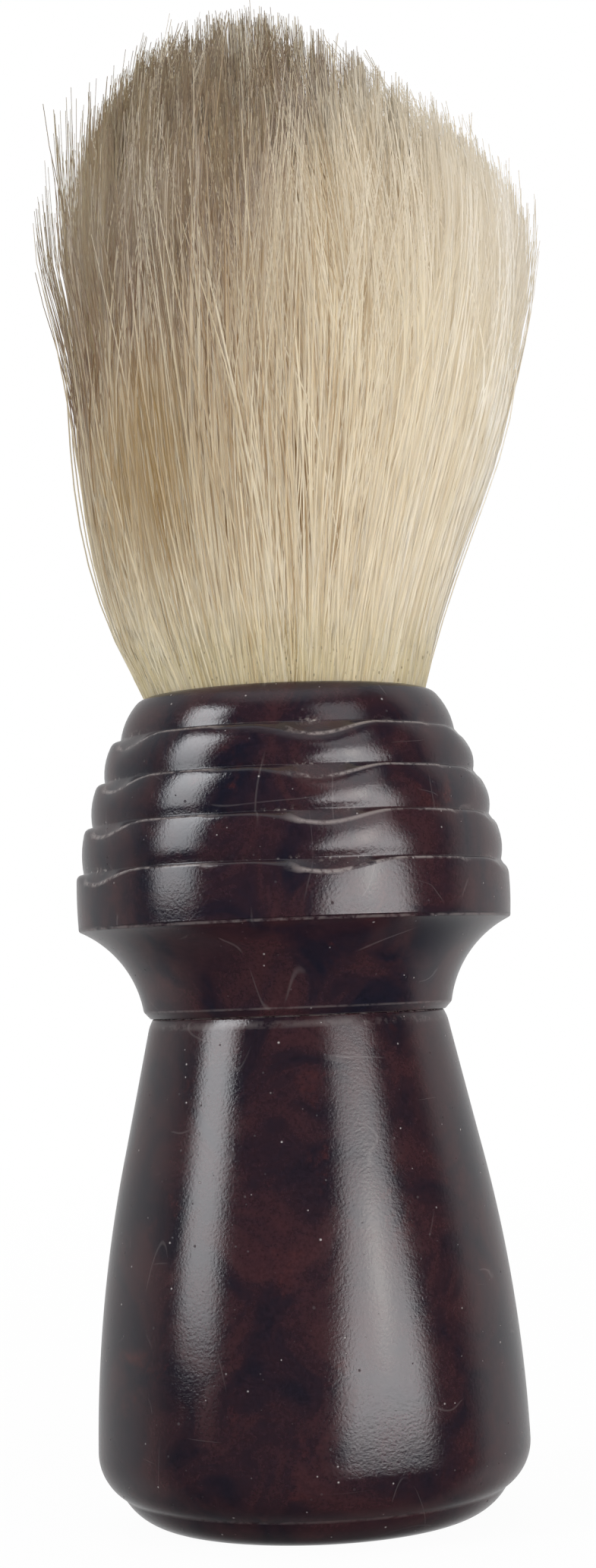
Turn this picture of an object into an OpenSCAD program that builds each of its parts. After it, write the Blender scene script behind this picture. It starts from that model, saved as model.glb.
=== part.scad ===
// Shaving brush: a moulded handle whose screw-on collar traps a bound knot of bristles.
// Millimetres, +Z up, origin at the centre of the base. The side shown in front faces -Y.

/* [Handle] */
// Height from the base to the seam under the collar
handle_h = 38.3; // [34:0.1:44]
// Widest diameter, just above the base
belly_d = 32.8; // [31:0.1:36]
// Height of the widest place
belly_z = 5.6; // [4.4:0.1:8]
// Radius of the long curve from the belly to the neck
belly_arc_r = 150; // [110:1:190]
// Diameter of the handle at the seam
neck_d = 22.4; // [21.6:0.1:24]
// Width of the bevel round the top edge of the handle
neck_bevel = 0.35; // [0.2:0.05:0.8]
// Diameter of the sharp edge where the foot begins
foot_edge_d = 29.2; // [27:0.1:31]
// Height of that edge above the base
foot_edge_z = 2.35; // [1.6:0.05:3.2]
// Diameter of the flat that the brush stands on
foot_d = 21.2; // [16:0.1:24]
// Wall between the core pocket and the root of the thread
spigot_wall = 2.3; // [1.8:0.1:4]
// Thickness of the base under the core pocket
core_floor = 9; // [6:0.1:14]
// Draft of the core pocket, in degrees
core_draft = 1; // [0.5:0.1:2]

/* [Thread] */
// Major diameter of the screw joint
thread_d = 18; // [17.6:0.1:18.8]
// Rise in one turn
thread_pitch = 2; // [1.5:0.1:2.5]
// Turns in engagement
thread_turns = 4; // [3:1:5]
// Depth of the thread form
thread_depth = 0.7; // [0.5:0.05:0.8]
// Length of the undercut below the thread
thread_relief = 0.6; // [0.4:0.05:1]
// Radial clearance of the screw joint
thread_clearance = 0.1; // [0.05:0.01:0.2]

/* [Collar] */
// Height of the collar from the seam to its lip
collar_h = 24.1; // [23:0.1:28]
// Diameter at the lower edge of the rim
rim_d = 32.8; // [31:0.1:36]
// Height of the rim's lower edge above the seam
rim_z = 6.8; // [6:0.1:8.5]
// Diameter of the collar at the seam
collar_neck_d = 23.3; // [23:0.1:25]
// Height of the plain band above the rim's lower edge
band_h = 4.3; // [3:0.1:5]
// Radius of the dome that the tiers follow
dome_arc_r = 42; // [36:1:70]
// Height of each tier as a multiple of the one above it
tier_growth = 1.05; // [1:0.01:1.15]
// How far each tier stands out from the one above it
tier_step = 0.55; // [0.4:0.05:0.7]
// Bevel round the upper edge of each tier
tier_bevel = 0.1; // [0.05:0.01:0.2]
// Thickness of the lip round the bristles
lip_wall = 0.2; // [0.15:0.05:0.6]
// Bevel round the outside of the lip
lip_bevel = 0.7; // [0.3:0.05:0.9]
// Height of the upright land at the lower edge of the rim
rim_land = 0.3; // [0.2:0.05:0.6]
// Bevel round the lower edge of the collar
collar_bevel = 0.45; // [0.15:0.05:0.6]

/* [Wave] */
// Number of dips round each tier
wave_count = 5; // [3:1:7]
// Depth of a dip at the tier's outer edge
wave_depth = 0.95; // [0.5:0.05:1.3]
// Half the angle that a dip takes up
wave_half_angle = 21; // [19:0.5:25]
// Angle of the first dip from the front
wave_phase = 9; // [-36:1:36]
// Width of the flat left between a dip and the tier above
wave_land = 0.08; // [0.05:0.01:0.15]

/* [Knot] */
// Free length of the bristles above the lip
loft = 51.4; // [44:0.1:58]
// Widest diameter of the bristles
bulb_d = 37.4; // [33:0.1:42]
// Height of the widest place above the lip
bulb_z = 33.6; // [28:0.1:38]
// Fullness of the flare below the widest place
flare_power = 1.22; // [1.16:0.01:1.34]
// Fullness of the dome above the widest place
dome_power = 1.6; // [1.4:0.05:2]
// Clearance of the bundle in the collar
knot_clearance = 0.3; // [0.2:0.05:0.5]
// Gap between neighbouring tufts, as a share of their spacing
tuft_gap = 0.05; // [0.03:0.01:0.12]
// Length over which a tuft tapers to its tip
tuft_taper = 7; // [4:0.5:10]

/* [Setting] */
// Thickness of the packing washer on the end of the spigot
washer_t = 1; // [0.6:0.1:1.5]
// Height of the straight flange of the plug
flange_h = 2; // [1.5:0.1:3]
// How far the flange stands out under the throat of the collar
flange_w = 0.625; // [0.4:0.025:0.9]
// Depth of the cup that holds the butts of the bristles
cup_depth = 1.3; // [0.8:0.1:1.8]
// Wall of that cup
cup_wall = 0.45; // [0.35:0.05:0.5]
// Diameter of the binding cord
cord_d = 0.6; // [0.4:0.05:0.7]
// Turns of the binding cord
cord_turns = 5; // [3:1:6]
// Clearance round the plug and the washer
plug_clearance = 0.15; // [0.1:0.05:0.25]

/* [Hidden] */
$fn = 180;

phenolic = "#2c1416";
cork = "#b58a5c";
cement = "#5a4632";
twine = "#c9b48c";
bristle = "#d8c7a4";

// Overshoot of a cutting shape past the face that it cuts
cut = 1;

// Centre of the circle of radius r through p and q that bulges away from the axis,
// where p is the lower point
function arc_centre(p, q, r) =
    let (half = (q - p) / 2, reach = sqrt(r * r - half * half), along = half / norm(half))
    p + half + reach * [-along[1], along[0]];

// Radius of the circle that leaves a line at right angles to side, passing a point
// that lies side across and rise along
function tangent_r(side, rise) = (side * side + rise * rise) / (2 * side);

// Handle
belly_r = belly_d / 2;
neck_r = neck_d / 2;
foot_edge_r = foot_edge_d / 2;
foot_r = foot_d / 2;
belly_centre = arc_centre([belly_r, belly_z], [neck_r, handle_h], belly_arc_r);
bevel_arc_r = tangent_r(belly_r - foot_edge_r, belly_z - foot_edge_z);
foot_arc_r = tangent_r(foot_edge_z, foot_edge_r - foot_r);

// Screw joint
thread_r = thread_d / 2;
thread_core_r = thread_r - thread_depth;
core_r = thread_core_r - spigot_wall;
socket_r = thread_r + thread_clearance;
spigot_h = thread_relief + thread_turns * thread_pitch;
spigot_top = handle_h + spigot_h;

// Knot, from the washer upwards
bulb_r = bulb_d / 2;
washer_top = spigot_top + washer_t;
flange_r = thread_core_r - plug_clearance;
plug_neck_r = flange_r - flange_w;
cup_r = plug_neck_r - cup_wall;
root_r = cup_r - plug_clearance / 2;
flange_top = washer_top + flange_h;
neck_foot = flange_top + flange_w;
cup_top = neck_foot + cup_depth / 2;
cup_floor = cup_top - cup_depth;
cord_r = cord_d / 2;
cord_z = cup_top + plug_clearance;
flare_z = cord_z + cord_turns * cord_d + plug_clearance;

// Collar
lip_z = handle_h + collar_h;
rim_r = rim_d / 2;
rim_edge_z = handle_h + rim_z;
collar_neck_r = collar_neck_d / 2;
cove_r = tangent_r(rim_r - collar_neck_r, rim_z);
throat_r = max(plug_neck_r, root_r + cord_d) + plug_clearance;
seat_r = flange_r + plug_clearance;

// Radius of the whole bundle of bristles at height z
bulb_top_z = lip_z + bulb_z;
apex_z = lip_z + loft;
function bundle_r(z) =
    let (t = min(max((z - flare_z) / (bulb_top_z - flare_z), 0), 1))
    root_r + (bulb_r - root_r) * pow(1 - pow(1 - t, flare_power), 1 / flare_power);

// Height at which a bristle that grows at this share of the bundle's radius ends
function tip_z(share) =
    bulb_top_z + (apex_z - bulb_top_z) * pow(1 - pow(share, dome_power), 1 / dome_power);

// Tiers of the collar, from the lip down. Each groove is where one tier meets the next.
mouth_r = bundle_r(lip_z) + knot_clearance;
lip_r = mouth_r + lip_wall;
groove_count = 4;
tiers_h = collar_h - rim_z - band_h;
tier_shares = [for (i = [0:groove_count - 1]) pow(tier_growth, i)];
function total(list, last) = last < 0 ? 0 : list[last] + total(list, last - 1);
groove_z = [for (i = [0:groove_count - 1])
    lip_z - tiers_h * total(tier_shares, i) / total(tier_shares, groove_count - 1)];
dome_centre = arc_centre([rim_r, rim_edge_z], [lip_r, lip_z], dome_arc_r);
function dome_r(z) = dome_centre[0] + sqrt(pow(dome_arc_r, 2) - pow(z - dome_centre[1], 2));
groove_r = [for (z = groove_z) dome_r(z)];

// Tufts of bristles stand in rings: one in the middle, then six more in each ring
outer_ring = 4;
tuft_sides = 8;
tuft_pitch = 1 / (outer_ring + 0.5);
tuft_r = tuft_pitch * (1 - tuft_gap) / 2;
// Rounding of a tuft's tip: share of the taper, share of the tuft's radius
tip_round = [[0.35, 0.92], [0.7, 0.66], [1, 0.22]];

// Handle in profile: foot, bevel, belly curve, bevelled neck and screw spigot
module handle_profile() {
    difference() {
        intersection() {
            square([belly_r, handle_h]);
            translate(belly_centre) circle(r = belly_arc_r);
            union() {
                translate([0, belly_z]) square([belly_r, handle_h]);
                square([belly_r - bevel_arc_r, handle_h]);
                translate([belly_r - bevel_arc_r, belly_z]) circle(r = bevel_arc_r);
            }
            union() {
                translate([0, foot_edge_z]) square([belly_r, handle_h]);
                square([foot_r, handle_h]);
                translate([foot_r, foot_arc_r]) circle(r = foot_arc_r);
            }
        }
        translate([neck_r, handle_h])
            polygon([[-neck_bevel - cut, cut], [cut, cut], [cut, -neck_bevel - cut]]);
    }
    polygon([
        [0, handle_h - cut],
        [thread_core_r, handle_h - cut],
        [thread_core_r, handle_h + thread_relief],
        [thread_r, handle_h + thread_relief + thread_depth],
        [thread_r, spigot_top - thread_depth],
        [thread_core_r, spigot_top],
        [0, spigot_top]
    ]);
}

// Lower moulding with its cored pocket
module handle() {
    floor_r = core_r - (spigot_top - core_floor) * tan(core_draft);
    color(phenolic) rotate_extrude() difference() {
        handle_profile();
        polygon([[-cut, core_floor], [floor_r, core_floor], [core_r, spigot_top],
            [core_r, spigot_top + cut], [-cut, spigot_top + cut]]);
    }
}

// Cork ring between the end of the spigot and the knot's plug
module packing_washer() {
    color(cork) translate([0, 0, spigot_top]) difference() {
        cylinder(h = washer_t, r = flange_r);
        translate([0, 0, -cut]) cylinder(h = washer_t + 2 * cut, r = core_r + plug_clearance);
    }
}

// Collar without its projecting tiers: cove below, dome through the grooves above
module collar_core() {
    grooves = [for (i = [groove_count - 1:-1:0]) [groove_r[i], groove_z[i]]];
    rotate_extrude() difference() {
        polygon(concat([[0, handle_h], [rim_r, handle_h], [rim_r, rim_edge_z + rim_land]],
            grooves, [[lip_r + lip_bevel, lip_z - lip_bevel], [lip_r, lip_z], [0, lip_z]]));
        translate([collar_neck_r + cove_r, handle_h]) circle(r = cove_r);
        translate([collar_neck_r, handle_h])
            polygon([[-collar_bevel - cut, -cut], [cut, -cut], [cut, collar_bevel + cut]]);
    }
}

// One projecting tier under groove i. Its upper edge is turned away on off-centre
// cones, one for each dip, so that the edge runs in a wave.
module tier(i) {
    top_z = groove_z[i];
    foot = i < groove_count - 1 ? [groove_r[i + 1], groove_z[i + 1]] : [rim_r, rim_edge_z + rim_land];
    edge_r = groove_r[i] + tier_step;
    buried_r = groove_r[i] - tier_step;
    start_r = groove_r[i] + wave_land;
    offset_r = (pow(edge_r, 2) - pow(start_r, 2)) / (2 * (start_r - edge_r * cos(wave_half_angle)));
    slope = (tier_step - wave_land) / wave_depth;
    below = top_z - foot[1] + cut;
    intersection() {
        rotate_extrude() polygon([[buried_r, foot[1]], foot, [edge_r, top_z - tier_bevel],
            [edge_r - tier_bevel, top_z], [buried_r, top_z]]);
        intersection_for (k = [0:wave_count - 1])
            rotate(wave_phase - 90 + k * 360 / wave_count)
                translate([-offset_r, 0, top_z - below])
                    cylinder(h = below + cut, r1 = start_r + offset_r + below * slope,
                        r2 = start_r + offset_r - cut * slope);
    }
}

// Hollow of the collar: screw socket, seat for the plug, throat and flared mouth
module collar_bore() {
    funnel_steps = 6;
    seat_z = flange_top + plug_clearance;
    funnel = [for (k = [0:funnel_steps]) let (z = flare_z + (lip_z - flare_z) * k / funnel_steps)
        [max(throat_r, bundle_r(z) + knot_clearance), z]];
    rotate_extrude() polygon(concat([
        [0, handle_h - cut],
        [socket_r + thread_depth + cut, handle_h - cut],
        [socket_r, handle_h + thread_depth],
        [socket_r, spigot_top + plug_clearance],
        [seat_r, spigot_top + plug_clearance],
        [seat_r, seat_z],
        [throat_r, seat_z + seat_r - throat_r]
    ], funnel, [[mouth_r, lip_z + cut], [0, lip_z + cut]]));
}

// Upper moulding with its wavy tiers
module collar() {
    color(phenolic) difference() {
        union() {
            collar_core();
            for (i = [0:groove_count - 1]) tier(i);
        }
        collar_bore();
    }
}

// Set cement round the butts of the bristles, with the flange that the collar traps
module knot_plug() {
    color(cement) rotate_extrude() polygon([
        [0, washer_top],
        [flange_r, washer_top],
        [flange_r, flange_top],
        [plug_neck_r, neck_foot],
        [plug_neck_r, cup_top],
        [cup_r, cup_top],
        [cup_r, cup_floor],
        [0, cup_floor]
    ]);
}

// Waxed cord wound round the bundle, one turn on another
module knot_binding() {
    valley_r = 1.3 * cord_r;
    color(twine) rotate_extrude() translate([root_r, cord_z]) {
        square([valley_r, cord_turns * cord_d]);
        for (turn = [0:cord_turns - 1])
            translate([cord_r, (turn + 0.5) * cord_d]) circle(r = cord_r);
    }
}

// One tuft, standing at this share of the bundle's radius and this angle. It swells and
// leans out with the bundle, so that neighbours keep their gap all the way up.
module tuft(share, angle) {
    steps = 6;
    crowding = 1.5;
    top = tip_z(share);
    bend = top - tuft_taper - flare_z;
    stations = concat([[cup_floor, 1]],
        [for (k = [0:steps]) [flare_z + bend * pow(k / steps, crowding), 1]],
        [for (tip = tip_round) [top - tuft_taper * (1 - tip[0]), tip[1]]]);
    last = len(stations) - 1;
    points = [for (station = stations, j = [0:tuft_sides - 1])
        let (r = bundle_r(station[0]), side = tuft_r * r * station[1],
            a = angle + (j + 0.5) * 360 / tuft_sides)
        [share * r * cos(angle) + side * cos(a), share * r * sin(angle) + side * sin(a), station[0]]];
    walls = [for (k = [0:last - 1], j = [0:tuft_sides - 1])
        let (here = k * tuft_sides, next = (j + 1) % tuft_sides)
        [here + j, here + tuft_sides + j, here + tuft_sides + next, here + next]];
    floor = [for (j = [0:tuft_sides - 1]) j];
    roof = [for (j = [tuft_sides - 1:-1:0]) last * tuft_sides + j];
    polyhedron(points, concat(walls, [floor, roof]));
}

// One ring of tufts, counted from the middle
module tuft_ring(ring) {
    count = max(6 * ring, 1);
    color(bristle) for (k = [0:count - 1]) tuft(ring * tuft_pitch, k * 360 / count);
}

module bristle_core() {
    tuft_ring(0);
    tuft_ring(1);
}

module bristle_ring_inner() {
    tuft_ring(2);
}

module bristle_ring_middle() {
    tuft_ring(3);
}

module bristle_ring_outer() {
    tuft_ring(outer_ring);
}

handle();
packing_washer();
collar();
knot_plug();
knot_binding();
bristle_core();
bristle_ring_inner();
bristle_ring_middle();
bristle_ring_outer();
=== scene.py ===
"""Looks of a shaving brush: two turned phenolic mouldings and a bound knot of bristles.

Sizes of pieces and the camera's place are millimetres. Finishes, lights and the floor count in metres, and
meshes are written in metres, in the part's own frame.
"""

import logging
import math
from dataclasses import dataclass
from enum import Enum
from typing import Any, NamedTuple

import bpy
import numpy as np
from mathutils import Matrix, Vector


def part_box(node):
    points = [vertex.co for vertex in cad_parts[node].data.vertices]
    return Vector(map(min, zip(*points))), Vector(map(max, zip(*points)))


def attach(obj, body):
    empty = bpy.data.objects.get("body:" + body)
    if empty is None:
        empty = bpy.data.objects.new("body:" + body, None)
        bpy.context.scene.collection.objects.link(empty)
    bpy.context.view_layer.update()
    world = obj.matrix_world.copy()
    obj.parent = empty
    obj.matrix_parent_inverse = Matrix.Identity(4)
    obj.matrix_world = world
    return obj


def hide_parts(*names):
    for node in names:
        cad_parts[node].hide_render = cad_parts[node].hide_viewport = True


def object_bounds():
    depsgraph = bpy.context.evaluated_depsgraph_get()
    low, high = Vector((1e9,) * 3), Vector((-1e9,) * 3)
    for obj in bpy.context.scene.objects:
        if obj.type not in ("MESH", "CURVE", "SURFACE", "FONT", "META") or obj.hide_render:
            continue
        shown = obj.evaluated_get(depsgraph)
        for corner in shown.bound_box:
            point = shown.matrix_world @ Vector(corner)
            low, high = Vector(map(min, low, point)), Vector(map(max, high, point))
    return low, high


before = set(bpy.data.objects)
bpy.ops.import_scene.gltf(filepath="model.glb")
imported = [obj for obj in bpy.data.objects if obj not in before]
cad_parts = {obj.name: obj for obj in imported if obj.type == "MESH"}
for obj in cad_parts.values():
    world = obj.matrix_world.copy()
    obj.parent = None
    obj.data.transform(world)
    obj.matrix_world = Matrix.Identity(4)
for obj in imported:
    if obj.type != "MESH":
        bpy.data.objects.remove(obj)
CAD_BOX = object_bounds()

LOG = logging.getLogger("shaving_brush")
# A millimetre in metres, the least length that is divided by, and the half turns from one bristle to the
# next, at which no two line up.
MM = 0.001
TINY = 1e-9
GOLDEN_TURN = 3 - math.sqrt(5)

Array = np.ndarray
Socket = bpy.types.NodeSocket
Reach = tuple[float, float]
Trio = tuple[float, float, float]
Colour = Trio


class Body(Enum):
    """The bodies of the part that pieces ride on."""

    HANDLE = "handle"
    KNOT = "knot"
    COLLAR = "collar"


class Slot(Enum):
    """The record's material slots."""

    PHENOLIC = "phenolic"
    TWINE = "twine"
    BRISTLE = "bristle"


class Port(Enum):
    """Kinds of socket on an effect group."""

    VALUE = "NodeSocketFloat"
    COLOUR = "NodeSocketColor"
    VECTOR = "NodeSocketVector"


class Mark(Enum):
    """Names of the values that meshes carry for their finishes."""

    # Wear on edges together with a painted highlight along them.
    WEAR_AND_HIGHLIGHT = "wear"
    RESIDUE = "residue"
    TONE = "tone"
    STAIN = "stain"
    AMBER = "amber"
    ROOT = "root"


class Edge(NamedTuple):
    """A rounded edge: length of face that it takes, points across it, and its wear with a painted
    highlight.
    """

    size: float
    steps: int
    wear: float = 0.0


def node_box(name: str) -> tuple[Array, Array]:
    """The lowest and highest corner of a solid.

    Args:
        name: The solid's name in the part.

    Returns:
        Both corners, in millimetres.
    """
    low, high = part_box(name)
    return np.array(low) / MM, np.array(high) / MM


def ease(x: Any, low: float, high: float) -> Any:
    """A smooth step.

    Args:
        x: A number or an array.
        low: Where the step begins.
        high: Where the step ends.

    Returns:
        0 at low rising to 1 at high, level outside.
    """
    t = np.clip((x - low) / (high - low), 0.0, 1.0)
    return t * t * (3 - 2 * t)


def circle(count: int) -> Array:
    """Angles of points spaced evenly round a circle."""
    return np.arange(count) * 2 * math.pi / count


def facing(turn: Array) -> Array:
    """Directions across the upright axis at these angles."""
    return np.stack([np.cos(turn), np.sin(turn)], -1)


def round_axis(r: Array, z: Array, turn: Array) -> Array:
    """Points round the upright axis, with x, y and z along the last axis of the array."""
    return np.stack(np.broadcast_arrays(r * np.cos(turn), r * np.sin(turn), z), -1)


def arc_centre(start: Reach, end: Reach, radius: float) -> Reach:
    """The centre, on the axis side, of an arc through two points of an outline.

    Args:
        start: First point, as radius and height.
        end: Second point.
        radius: Radius of the arc.

    Returns:
        The centre, as radius and height.
    """
    mid = ((start[0] + end[0]) / 2, (start[1] + end[1]) / 2)
    dr, dz = end[0] - start[0], end[1] - start[1]
    chord = math.hypot(dr, dz)
    back = math.sqrt(radius**2 - chord**2 / 4)
    return mid[0] - dz / chord * back, mid[1] + dr / chord * back


def tangent_r(rise: float, run: float) -> float:
    """Radius of an arc that starts square to a step of this rise and ends after this run."""
    return (rise**2 + run**2) / (2 * rise)


def ring_quads(rings: Array, closed: bool = False) -> Array:
    """Faces between rings of vertices.

    Args:
        rings: Vertex numbers, with the rings along the last axis but one.
        closed: Whether the last ring joins the first.

    Returns:
        Vertex numbers, four along the last axis.
    """
    low, high = rings[..., :-1, :], rings[..., 1:, :]
    if closed:
        low, high = rings, np.roll(rings, -1, -2)
    return np.stack([low, np.roll(low, -1, -1), np.roll(high, -1, -1), high], -1)


def pole_fans(rings: Array, pole: int) -> Array:
    """Faces that close the first and the last ring at two poles.

    Args:
        rings: Vertex numbers, one row for each ring.
        pole: Number of the first ring's pole, which the last ring's follows.

    Returns:
        Vertex numbers, three a row.
    """
    first, last = rings[0], rings[-1]
    return np.concatenate([
        np.stack([np.full_like(first, pole), np.roll(first, -1), first], 1),
        np.stack([np.full_like(last, pole + 1), last, np.roll(last, -1)], 1)])


def into_scene(made: bpy.types.Object) -> bpy.types.Object:
    """Puts a new object into the scene."""
    bpy.context.scene.collection.objects.link(made)
    return made


def dress(
    piece: bpy.types.Object,
    body: Body,
    material: bpy.types.Material,
    node: str,
) -> bpy.types.Object:
    """Sets what a piece rides on and is finished with, and hides the solid that it stands for.

    Args:
        piece: The new piece.
        body: The body that carries it.
        material: Its material.
        node: The solid that it stands for.

    Returns:
        The same piece.
    """
    piece.data.materials.append(material)
    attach(piece, body.value)
    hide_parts(node)
    return piece


class Mesh:
    """Vertices, faces and marks that become one smooth object."""

    def __init__(self, points: Array, quads: Array, triangles: Array) -> None:
        """Keeps the shape.

        Args:
            points: Vertices in millimetres, x, y and z along the last axis.
            quads: Vertex numbers, four along the last axis.
            triangles: Vertex numbers, three along the last axis.
        """
        self.points = points.reshape(-1, 3)
        self.quads = quads.reshape(-1, 4)
        self.triangles = triangles.reshape(-1, 3)
        self.marks: dict[Mark, Array] = {}
        self.map: Array | None = None
        self.normals: Array | None = None

    def link(self, name: str) -> bpy.types.Object:
        """Makes the Blender object.

        Args:
            name: The piece's name.

        Returns:
            The object, in the scene.
        """
        mesh = bpy.data.meshes.new(name)
        corners = np.concatenate([self.quads.ravel(), self.triangles.ravel()]).astype(np.int32)
        sizes = np.repeat([4, 3], [len(self.quads), len(self.triangles)]).astype(np.int32)
        mesh.vertices.add(len(self.points))
        mesh.vertices.foreach_set("co", (self.points * MM).astype(np.float32).ravel())
        mesh.loops.add(len(corners))
        mesh.loops.foreach_set("vertex_index", corners)
        mesh.polygons.add(len(sizes))
        mesh.polygons.foreach_set("loop_start", np.cumsum(sizes) - sizes)
        mesh.update(calc_edges=True)
        for mark, values in self.marks.items():
            layer = mesh.attributes.new(mark.value, "FLOAT", "POINT")
            layer.data.foreach_set("value", values.astype(np.float32).ravel())
        if self.map is not None:
            layer = mesh.uv_layers.new(name="OFBake")
            layer.uv.foreach_set("vector", self.map[corners].astype(np.float32).ravel())
        mesh.shade_smooth()
        mesh.validate()
        if self.normals is not None:
            mesh.normals_split_custom_set_from_vertices(self.normals.tolist())
        return into_scene(bpy.data.objects.new(name, mesh))


class Outline:
    """A turned outline, drawn up the outside, whose corners may vary round the axis."""

    support = 0.09
    flat_length = 0.7
    most_taken = 0.8
    settled = 0.4

    def __init__(self, columns: int) -> None:
        """Starts an empty outline.

        Args:
            columns: Number of divisions round the axis.
        """
        self.columns = columns
        self.corners: list[tuple[Array, Array, Array, Array, Array, int]] = []

    def add(
        self,
        r: Any,
        z: Any,
        rounding: Any = 0.0,
        steps: int = 1,
        wear: Any = 0.0,
        residue: Any = 0.0,
    ) -> None:
        """Adds a corner. Each size is one number, or one for each column.

        Args:
            r: Its distance from the axis.
            z: Its height.
            rounding: Length of edge taken by its rounding.
            steps: Number of points in the rounding.
            wear: How strongly the corner shows wear and a painted highlight, 0 to 1.
            residue: How much old soap has settled in it, 0 to 1.
        """
        sizes = (r, z, rounding, wear, residue)
        wide = [np.broadcast_to(np.asarray(v, float), (self.columns,)) for v in sizes]
        self.corners.append((*wide, steps))

    def bowed(self, start: tuple[Any, Any], end: tuple[Any, Any], bulge: float, steps: int) -> None:
        """Adds points along a face that swells outward, without its two ends.

        Args:
            start: Lower end, as radius and height.
            end: Upper end.
            bulge: How far the middle stands out.
            steps: Number of parts that the face is cut into.
        """
        dr, dz = end[0] - start[0], end[1] - start[1]
        length = np.hypot(dr, dz)
        for k in range(1, steps):
            t = k / steps
            out = 4 * bulge * t * (1 - t) / length
            self.add(start[0] + dr * t + dz * out, start[1] + dz * t - dr * out)

    def arc(self, centre: Reach, radius: float, turn: Reach, steps: int) -> None:
        """Adds points along an arc, without its two ends.

        Args:
            centre: Centre, as radius and height.
            radius: Radius of the arc.
            turn: First and last angle in radians, from the outward direction.
            steps: Number of parts that the arc is cut into.
        """
        for k in range(1, steps):
            a = turn[0] + (turn[1] - turn[0]) * k / steps
            self.add(centre[0] + radius * math.cos(a), centre[1] + radius * math.sin(a))

    def rows(self, closed: bool) -> tuple[Array, Array, Array]:
        """Works out the rounded outline.

        Args:
            closed: Whether the last corner joins the first.

        Returns:
            Points as (row, column, radius and height), then wear with its painted highlight, and residue,
            likewise.
        """
        spots = np.stack([np.stack([c[0], c[1]], 1) for c in self.corners])
        count = len(spots)
        rows: list[Array] = []
        marks: list[tuple[Array, Array]] = []
        clear = np.zeros(self.columns)
        for i, (_, _, rounding, wear, residue, steps) in enumerate(self.corners):
            here, after = spots[i], spots[(i + 1) % count]
            back, on = spots[i - 1] - here, after - here
            back_l = np.linalg.norm(back, axis=1, keepdims=True)
            on_l = np.linalg.norm(on, axis=1, keepdims=True)
            size = rounding[:, None]
            ends = not closed and i in (0, count - 1)
            if steps > 1 and not ends:
                a = here + back / back_l * np.minimum(size, self.most_taken * back_l)
                b = here + on / on_l * np.minimum(size, self.most_taken * on_l)
                for s in np.linspace(0.0, 1.0, steps):
                    rows.append((1 - s)**2 * a + 2 * s * (1 - s) * here + s * s * b)
                    peak = math.sin(math.pi * s)
                    marks.append((wear * peak, residue * (self.settled + (1 - self.settled) * peak)))
            else:
                rows.append(here.copy())
                marks.append((wear, residue))
            if (closed or i < count - 1) and float(on_l.mean()) > self.flat_length:
                reach = np.minimum(size, self.most_taken * on_l) if steps > 1 else 0.0
                start = here + on / on_l * reach
                for s in (self.support, 0.5):
                    rows.append(start + (after - start) * s)
                    marks.append((clear, clear))
        return np.stack(rows), np.stack([m[0] for m in marks]), np.stack([m[1] for m in marks])

    def mesh(self, closed: bool) -> Mesh:
        """Turns the outline into a mesh round the upright axis.

        Args:
            closed: Whether the outline is a ring; if not, both ends are capped at the axis.

        Returns:
            The mesh, with its wear and painted highlight, and its residue.
        """
        spots, wear, residue = self.rows(closed)
        r, z = spots[:, :, 0], spots[:, :, 1]
        points = round_axis(r, z, circle(self.columns)).reshape(-1, 3)
        rings = np.arange(r.size).reshape(r.shape)
        fans = np.empty((0, 3), int)
        marks = [wear.ravel(), residue.ravel()]
        if not closed:
            fans = pole_fans(rings, len(points))
            points = np.concatenate([points, [[0.0, 0.0, z[0, 0]], [0.0, 0.0, z[-1, 0]]]])
            marks = [np.concatenate([v, [0.0, 0.0]]) for v in marks]
        made = Mesh(points, ring_quads(rings, closed), fans)
        made.marks = dict(zip((Mark.WEAR_AND_HIGHLIGHT, Mark.RESIDUE), marks))
        return made


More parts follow.
